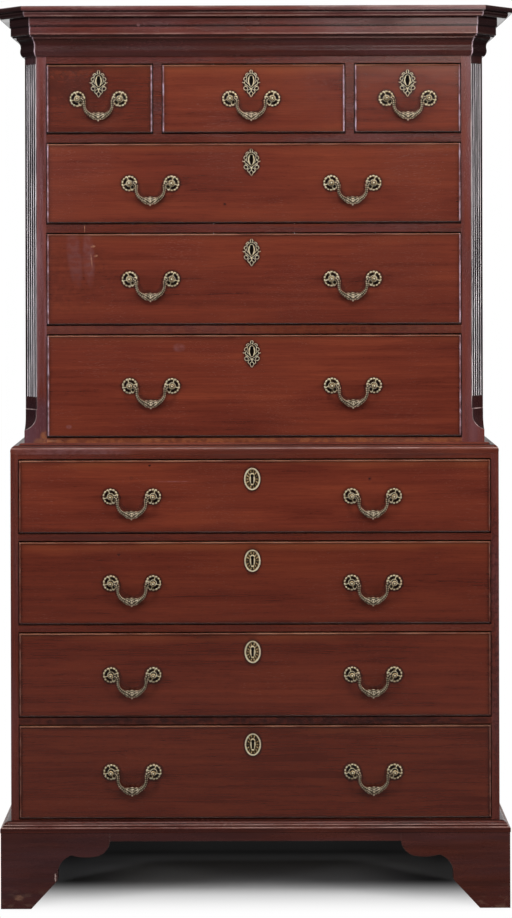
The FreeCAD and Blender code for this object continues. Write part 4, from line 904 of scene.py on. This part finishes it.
def painted_flute_light(colour, grain, x, y, z):
    """A painted highlight down each flute, where cos(2 pi (across / pitch - 0.15)) is near 1.

    The flutes themselves are painted nearly black, as shade.
    """
    across = (abs(x) - CANT_MIDDLE[0] + y - CANT_MIDDLE[1]) * math.sqrt(0.5)
    wave = ((across / FLUTE_PITCH - 0.15) * (2 * math.pi)).cosine()
    fluted = abs(across).step(FLUTED_HALF + MM, FLUTED_HALF)
    fluted = fluted * z.step(FLUTE_FOOT - MM, FLUTE_FOOT + MM)
    fluted = fluted * z.step(FLUTE_HEAD + MM, FLUTE_HEAD - MM)
    patchy = 0.5 + 0.5 * grain.noise((9, 150, 150), 41.0, detail=3).step(0.35, 0.6)
    # painted shade in the flutes, then a painted highlight line in each
    return paint(colour, fluted * 0.95, srgb(12, 7, 8),
                 fluted * wave.step(0.66, 0.90) * patchy, srgb(255, 246, 250))


BANDS = {    # height in mm, then 0 for painted shade, 0.5 for bare timber, 1 for a painted highlight
    "cornice_moulding": [
        (1801, .30), (1806, .19), (1834, .15), (1837, .10), (1838, .52), (1840.4, .64),
        (1841.4, .05), (1843.6, .05), (1845.4, .60), (1847, .76), (1848.8, .45), (1851, .38),
        (1859, .50), (1861.4, .20), (1863, .04), (1868, .36), (1875, .52), (1877.8, .58),
        (1879.2, .05), (1880.4, .10), (1881.6, .80), (1883.6, .70), (1884.8, .36), (1886.8, .36),
        (1888.2, .82), (1889.6, .70), (1890.6, 0), (1892, .15), (1895, .42), (1900.4, .72),
        (1901.3, .46), (1901.5, .46)],
    "waist_moulding": [
        (956, .36), (965, .36), (966.6, .45), (967.8, .85), (969, .70), (970.2, .18), (971.2, .18),
        (972.2, .68), (973.2, .10), (974.4, .12), (975.4, .46), (978, .50)],
    "base_moulding": [
        (160, .36), (167, .22), (168.8, .40), (170.2, .84), (171.2, .40), (172.4, .12),
        (173.8, .35), (174.8, .95), (175.8, .60), (176.8, .28), (178.2, .28), (179.4, .70),
        (180.6, .20), (182, .12)],
}


def banded(colour, node, z, rub):
    """Painted shade and painted highlights up a moulding.

    A ramp on (z - foot) / height, read both ways from 0.5.
    """
    foot, head = BANDS[node][0][0], BANDS[node][-1][0]
    share = (z - foot * MM) / ((head - foot) * MM)
    level = share.node("ValToRGB", {"Fac": share}, stops=[
        ((height - foot) / (head - foot), grey(value)) for height, value in BANDS[node]])
    return paint(colour, (0.5 - level) * 2, DIRT_AND_SHADE, (level - 0.5) * (0.5 + 1.5 * rub), PAINTED_HIGHLIGHT)


def canted(x, y):
    """A mask that is 1 between a canted corner's two mitre lines, and one along the front line."""
    out_x, out_y = abs(x) - CANT_EDGE, CASE_FRONT - y
    slope = math.tan(math.pi / 8)
    front, side = out_x - out_y * slope, out_y + CANT_SIZE - (out_x - CANT_SIZE) * slope
    return front.step(0, 0.4 * MM) * side.step(0, 0.4 * MM), abs(front).step(2.0 * MM, 1.2 * MM)


def case_wear_and_light(node, painted_sheen, dirt):
    """The wear and painted light of one case node: lilac painted sheen, grime in patches, marks."""
    def shaped(colour, grain, x, y, z, rub):
        """Painted sheen and grime, then what only feet, stiles, mouldings or the cornice have."""
        cloudy = grain.noise((3, 30, 30), 23.0, detail=3).step(0.3, 0.75)
        patch = grain.noise((6, 50, 50), 17.0, detail=3).step(0.45, 0.8)
        # a lilac painted sheen in clouds, and grime in patches
        colour = paint(colour, cloudy * painted_sheen, LILAC, patch * dirt, DIRT_AND_SHADE)
        # The left half, where feet and stiles get a painted lilac cast for the cool light on that
        # side
        left = x.step(0.1, -0.1)
        if node == "bracket_feet":
            scuff = grain.noise((40, 70, 70), 5.0, detail=4).step(0.52, 0.7)
            # scuffs are wear; the left foot gets a darker lilac cast, painted for the light on that
            # side
            colour = paint(colour, z.step(60 * MM, 8 * MM) * scuff * 0.5, srgb(128, 96, 80),
                           left * 0.35, srgb(40, 24, 30))
        corner, mitre = canted(x, y)
        if node == "fluted_stiles":
            low, behind = z.step(SHOULDER + 40 * MM, SHOULDER), y - CASE_FRONT
            # painted sheen on the left stile, painted shade low on it, and painted shade over the
            # canted corners
            colour = paint(colour, cloudy * left * 0.6, srgb(134, 100, 108),
                           left * low * 0.6, srgb(84, 56, 66),
                           corner * behind.step(0.2 * MM, 0.8 * MM) * 0.78, PAINTED_SHADE)
            colour = painted_flute_light(colour, grain, x, y, z)
            # a painted highlight along the cant's front arris and the stop's shoulder
            arris = behind.step(0.1 * MM, 0.3 * MM) * behind.step(2.4 * MM, 1.6 * MM)
            arris = (arris + abs(z - SHOULDER + MM).step(1.3 * MM, 0.6 * MM)) * corner
            colour = paint(colour, arris * (0.1 + 0.65 * rub), srgb(226, 200, 196))
        if node in BANDS:
            colour = banded(colour, node, z, rub)
        if node == "cornice_moulding":
            cant = CANT_MIDDLE[0] - CANT_MIDDLE[1]
            outside = (abs(x) - y).step(cant, cant + MM)
            below = z.step(FILLET_FOOT, FILLET_FOOT - MM)
            # painted shade on the cornice's canted corners under its top face, and a painted
            # highlight along the front mitre line
            colour = paint(
                colour, corner * outside * z.step(TOP_FACE, TOP_FACE - 0.5 * MM) * 0.85, PAINTED_SHADE,
                mitre * below * (0.2 + 0.8 * rub), srgb(200, 176, 184))
        return marked(colour, node, grain, x, z), patch * dirt
    return shaped


CREAM = srgb(255, 226, 210)     # bare wood at a knocked edge, before its tone
CASE = {   # grain, seed, tone, warmth, painted sheen, dirt, then mahogany's roughness, ease, gloss, arris
    # A dark arris tint paints shade on the edges; a pale one paints wear and highlights
    "cornice_moulding": ("round", 1.0, 0.74, 0.0, 0.40, 0.4, 0.17, 1.3, 0.9, PAINTED_SHADE),
    "upper_sides": ("z", 2.0, 0.95, 0.1, 0.10, 0.2, 0.18),
    "fluted_stiles": ("z", 5.0, 0.84, 0.0, 0.50, 0.3, 0.20, 1.0, 1.0, PAINTED_HIGHLIGHT),
    "upper_rails": ("x", 7.0, 0.60, 0.1, 0.15, 0.4, 0.18),
    "waist_moulding": ("round", 9.0, 0.93, 0.4, 0.10, 0.3, 0.30, 1.3, 0.4),
    "lower_sides": ("z", 11.0, 0.74, 0.0, 0.30, 0.3, 0.18),
    "lower_rails": ("x", 13.0, 0.68, 0.1, 0.05, 0.4, 0.20),
    "base_moulding": ("round", 15.0, 0.60, 0.1, 0.10, 0.5, 0.22, 1.0, 0.6, PAINTED_SHADE),
    "bracket_feet": ("round", 17.0, 0.44, 0.0, 0.15, 0.3, 0.24, 1.6, 1.0, CREAM),
}
for node, (run, seed, tone, warmth, painted_sheen, dirt, *polish) in CASE.items():
    clothe(node, mahogany(f"mahogany_{node}", run, seed, tone, warmth,
                          case_wear_and_light(node, painted_sheen, dirt), *polish))
print(len(CASE), "case nodes polished")

# %% [markdown]
# ## Oak linings and pine boards
#
# Drawer linings are thin quartered oak, gone honey brown, and the backs and dustboards are pine,
# never polished. Both are one recipe: grain lines, a darker one now and then, a dull surface.

# %% Oak and pine
def plain_timber(name, run, seed, pale, dark, width):
    """Unpolished timber: noise stretched along run, with growth lines about width metres apart."""
    material, place = new_finish(name)
    grain, _ = grain_place(place, run)
    cloud = grain.noise((2, 12, 12), seed, detail=3)
    rings = grain.noise((3, 1 / width, 1 / width), seed + 3, detail=4)
    lines = grain.noise((20, 900, 900), seed + 5)
    level = cloud * 0.4 + rings * 0.4 + lines * 0.2
    colour = level.node("ValToRGB", {"Fac": level}, stops=[(0.36, dark), (0.62, pale)])
    stain = place.noise((5, 5, 5), seed + 8, detail=3).step(0.5, 0.8) * 0.5
    colour = stain.blend(colour, shade(dark, 0.6))
    normal = place.node("Bump", {"Height": lines, "Strength": 0.3, "Distance": 0.0006})
    put_surface(place, {"Base Color": colour, "Roughness": 0.62 + 0.2 * lines, "Normal": normal,
                        "Specular IOR Level": 0.3})
    return material


PLAIN = [("oak_linings", "y", 4.0, srgb(170, 128, 82), srgb(122, 84, 50), 0.012,
          [f"{drawer}_box" for drawer in DRAWERS]),
         ("pine_backs", "z", 6.0, srgb(150, 112, 70), srgb(98, 66, 40), 0.02,
          ["upper_back_boards", "lower_back_boards"]),
         ("pine_boards", "x", 8.0, srgb(158, 120, 78), srgb(104, 72, 44), 0.02,
          ["case_boards", "drawer_runners"])]
for *recipe, nodes in PLAIN:
    material = plain_timber(*recipe)
    for node in nodes:
        clothe(node, material)
    print(material.name, "on", len(nodes), "nodes")

# %% [markdown]
# ## Floor and surround
#
# The piece stands on a white floor that runs into a white surround. Near the piece the floor is
# lit, so it keeps the shadow, and it is painted darker underneath; farther off it is plain white.
# Only the camera sees all of it white. A reflection sees a dim room before the piece and a paler
# one behind it, and the light from the surround itself is dim.

# %% Floor and surround
FLOOR_REACH = 30.0


def rays(start):
    """Two masks: the rays from the camera, and those that gloss or glass passes on."""
    direct = start.node("LightPath", output="Is Camera Ray")
    return direct, direct.out("Is Glossy Ray") + direct.out("Is Transmission Ray")


def seen_directly(start, mirrored):
    """1 for rays from the camera, and mirrored for those that gloss or glass passes on."""
    direct, passed = rays(start)
    return (direct + passed * mirrored).least(1.0)


# A large plane, matt near the piece and plain white to the camera elsewhere; each step is a fade
# between two distances in metres, beside the middle (x) or before and behind it (y)
material, place = new_finish("studio_floor")
split = place.node("SeparateXYZ", {0: place})
x, y = split, split.out("Y")
beside, ahead, beyond = abs(x).step(0.50, 0.56), y.step(-0.065, -0.310), y.step(0.30, 0.55)
outside = 1 - (1 - beside) * (1 - ahead) * (1 - beyond)
near = abs(x).step(0.18, 0.42).blend(grey(0.60), grey(0.09))
distant = abs(x).step(0.10, 0.36).blend(grey(0.03), grey(0.02))
shadow = ahead.blend(y.step(0.0, 0.15).blend(near, distant), grey(0.60))
seen = seen_directly(place, 0.0).blend(grey(0.06), shadow)
matt = place.node("BsdfDiffuse", {"Color": seen})
white = place.node("Emission", {"Color": grey(1.0), "Strength": 1.0})
shown = outside * seen_directly(place, (y - abs(x) * 0.7).step(0.3, 1.5))
mixed = place.node("MixShader", {0: shown, 1: matt, 2: white})
place.node("OutputMaterial", {"Surface": mixed})
mesh = bpy.data.meshes.new("floor")
square = ((-1, -1), (1, -1), (1, 1), (-1, 1))
mesh.from_pydata([(FLOOR_REACH * x, FLOOR_REACH * y, 0) for x, y in square], [], [(0, 1, 2, 3)])
mesh.materials.append(material)
floor = placed("floor", mesh)

world = bpy.data.worlds.new("studio")
bpy.context.scene.world = world
sky = fresh_tree(world)
toward = sky.node("TexCoord", output="Generated")
behind = sky.node("SeparateXYZ", {0: toward}, output="Y").step(0.5, 0.9)
direct, passed = rays(sky)
level = direct + passed * (0.03 + 0.6 * behind) + (1 - direct) * (1 - passed) * 0.15
backdrop = sky.node("Background", {"Color": grey(1.0), "Strength": level})
sky.node("OutputWorld", {"Surface": backdrop})
print("floor and surround in place")

# %% [markdown]
# ## Lamps
#
# Soft boxes light the piece evenly from both sides, above and behind. A lamp mirrored in polish
# would be a white blot, so the strong ones give diffuse light only, and weak ones the glints.

# %% Lamps
def softbox(name, place, aim, width, height, power, colour=(1, 1, 1), glints=True):
    """A rectangular lamp turned to face aim, its power in watts; without glints only diffuse."""
    light = bpy.data.lights.new(name, "AREA")
    light.shape, light.size, light.size_y = "RECTANGLE", width, height
    light.energy, light.color = power, colour
    lamp = placed(name, light)
    lamp.visible_glossy, lamp.location = glints, place
    beam = Vector(aim) - Vector(place)
    lamp.rotation_euler = beam.to_track_quat("-Z", "Y").to_euler()


for side, tint in ((-1, (0.96, 0.96, 1.0)), (1, (1.0, 0.98, 0.97))):
    spot, aim = (3.1 * side, -1.95, 1.45), (0, -0.25, 1.3)
    softbox("strip", spot, aim, 0.4, 1.5, 52, tint, glints=False)
    softbox("strip glint", spot, aim, 0.4, 1.5, 4, tint)
softbox("top", (0, -2.6, 3.1), (0, -0.1, 1.0), 2.2, 1.0, 62, glints=False)
softbox("glint", (0, -1.05, 3.5), (0, -0.3, 1.0), 1.8, 0.22, 4)
softbox("back", (0, 2.7, 2.7), (0, 0.3, 1.2), 2.0, 1.2, 55, glints=False)
softbox("veil", (-1.35, -3.0, 1.7), (-0.6, -0.25, 1.6), 0.9, 1.2, 1.0, (0.86, 0.82, 1.0))
softbox("cornice glow", (0.95, -3.0, 2.32), (0.4, -0.25, 1.9), 1.3, 0.4, 2.6, (1.0, 0.95, 0.9))
print(len(bpy.data.lights), "lamps,", round(sum(lamp.energy for lamp in bpy.data.lights)), "W")

# %% [markdown]
# ## Camera
#
# The camera looks straight ahead at eye level, so upright lines stay upright, and the picture is
# shifted until the floor line sits at its row. A pixel's size at the front fixes the distance.

# %% Camera
EYE_LEVEL, ASIDE = 1.39, 0.0044
ROLL = 0.0027             # radians
DISTANCE = 4.427          # from the lower drawers' faces
FRAME_HEIGHT = 918        # pixels, the long side
LENS, SENSOR = 82.0, 36.0
METRES_PER_PIXEL = DISTANCE * SENSOR / LENS / FRAME_HEIGHT
FLOOR_ROW = 905.5         # row where the lower front's plane meets the floor

camera_data = bpy.data.cameras.new("camera")
camera_data.lens, camera_data.sensor_width = LENS, SENSOR
eye_row = FLOOR_ROW - EYE_LEVEL / METRES_PER_PIXEL
camera_data.shift_y = (eye_row - FRAME_HEIGHT / 2) / FRAME_HEIGHT
camera = placed("camera", camera_data)
front_y = drawer_face("lower_drawer_1")[-1]
camera.location = (ASIDE, front_y - DISTANCE, EYE_LEVEL)
camera.rotation_euler = (math.pi / 2, ROLL, 0)
bpy.context.scene.camera = camera
bpy.context.scene.view_settings.view_transform = "Standard"
print("eye row", round(eye_row, 1), "shift", round(camera_data.shift_y, 4))
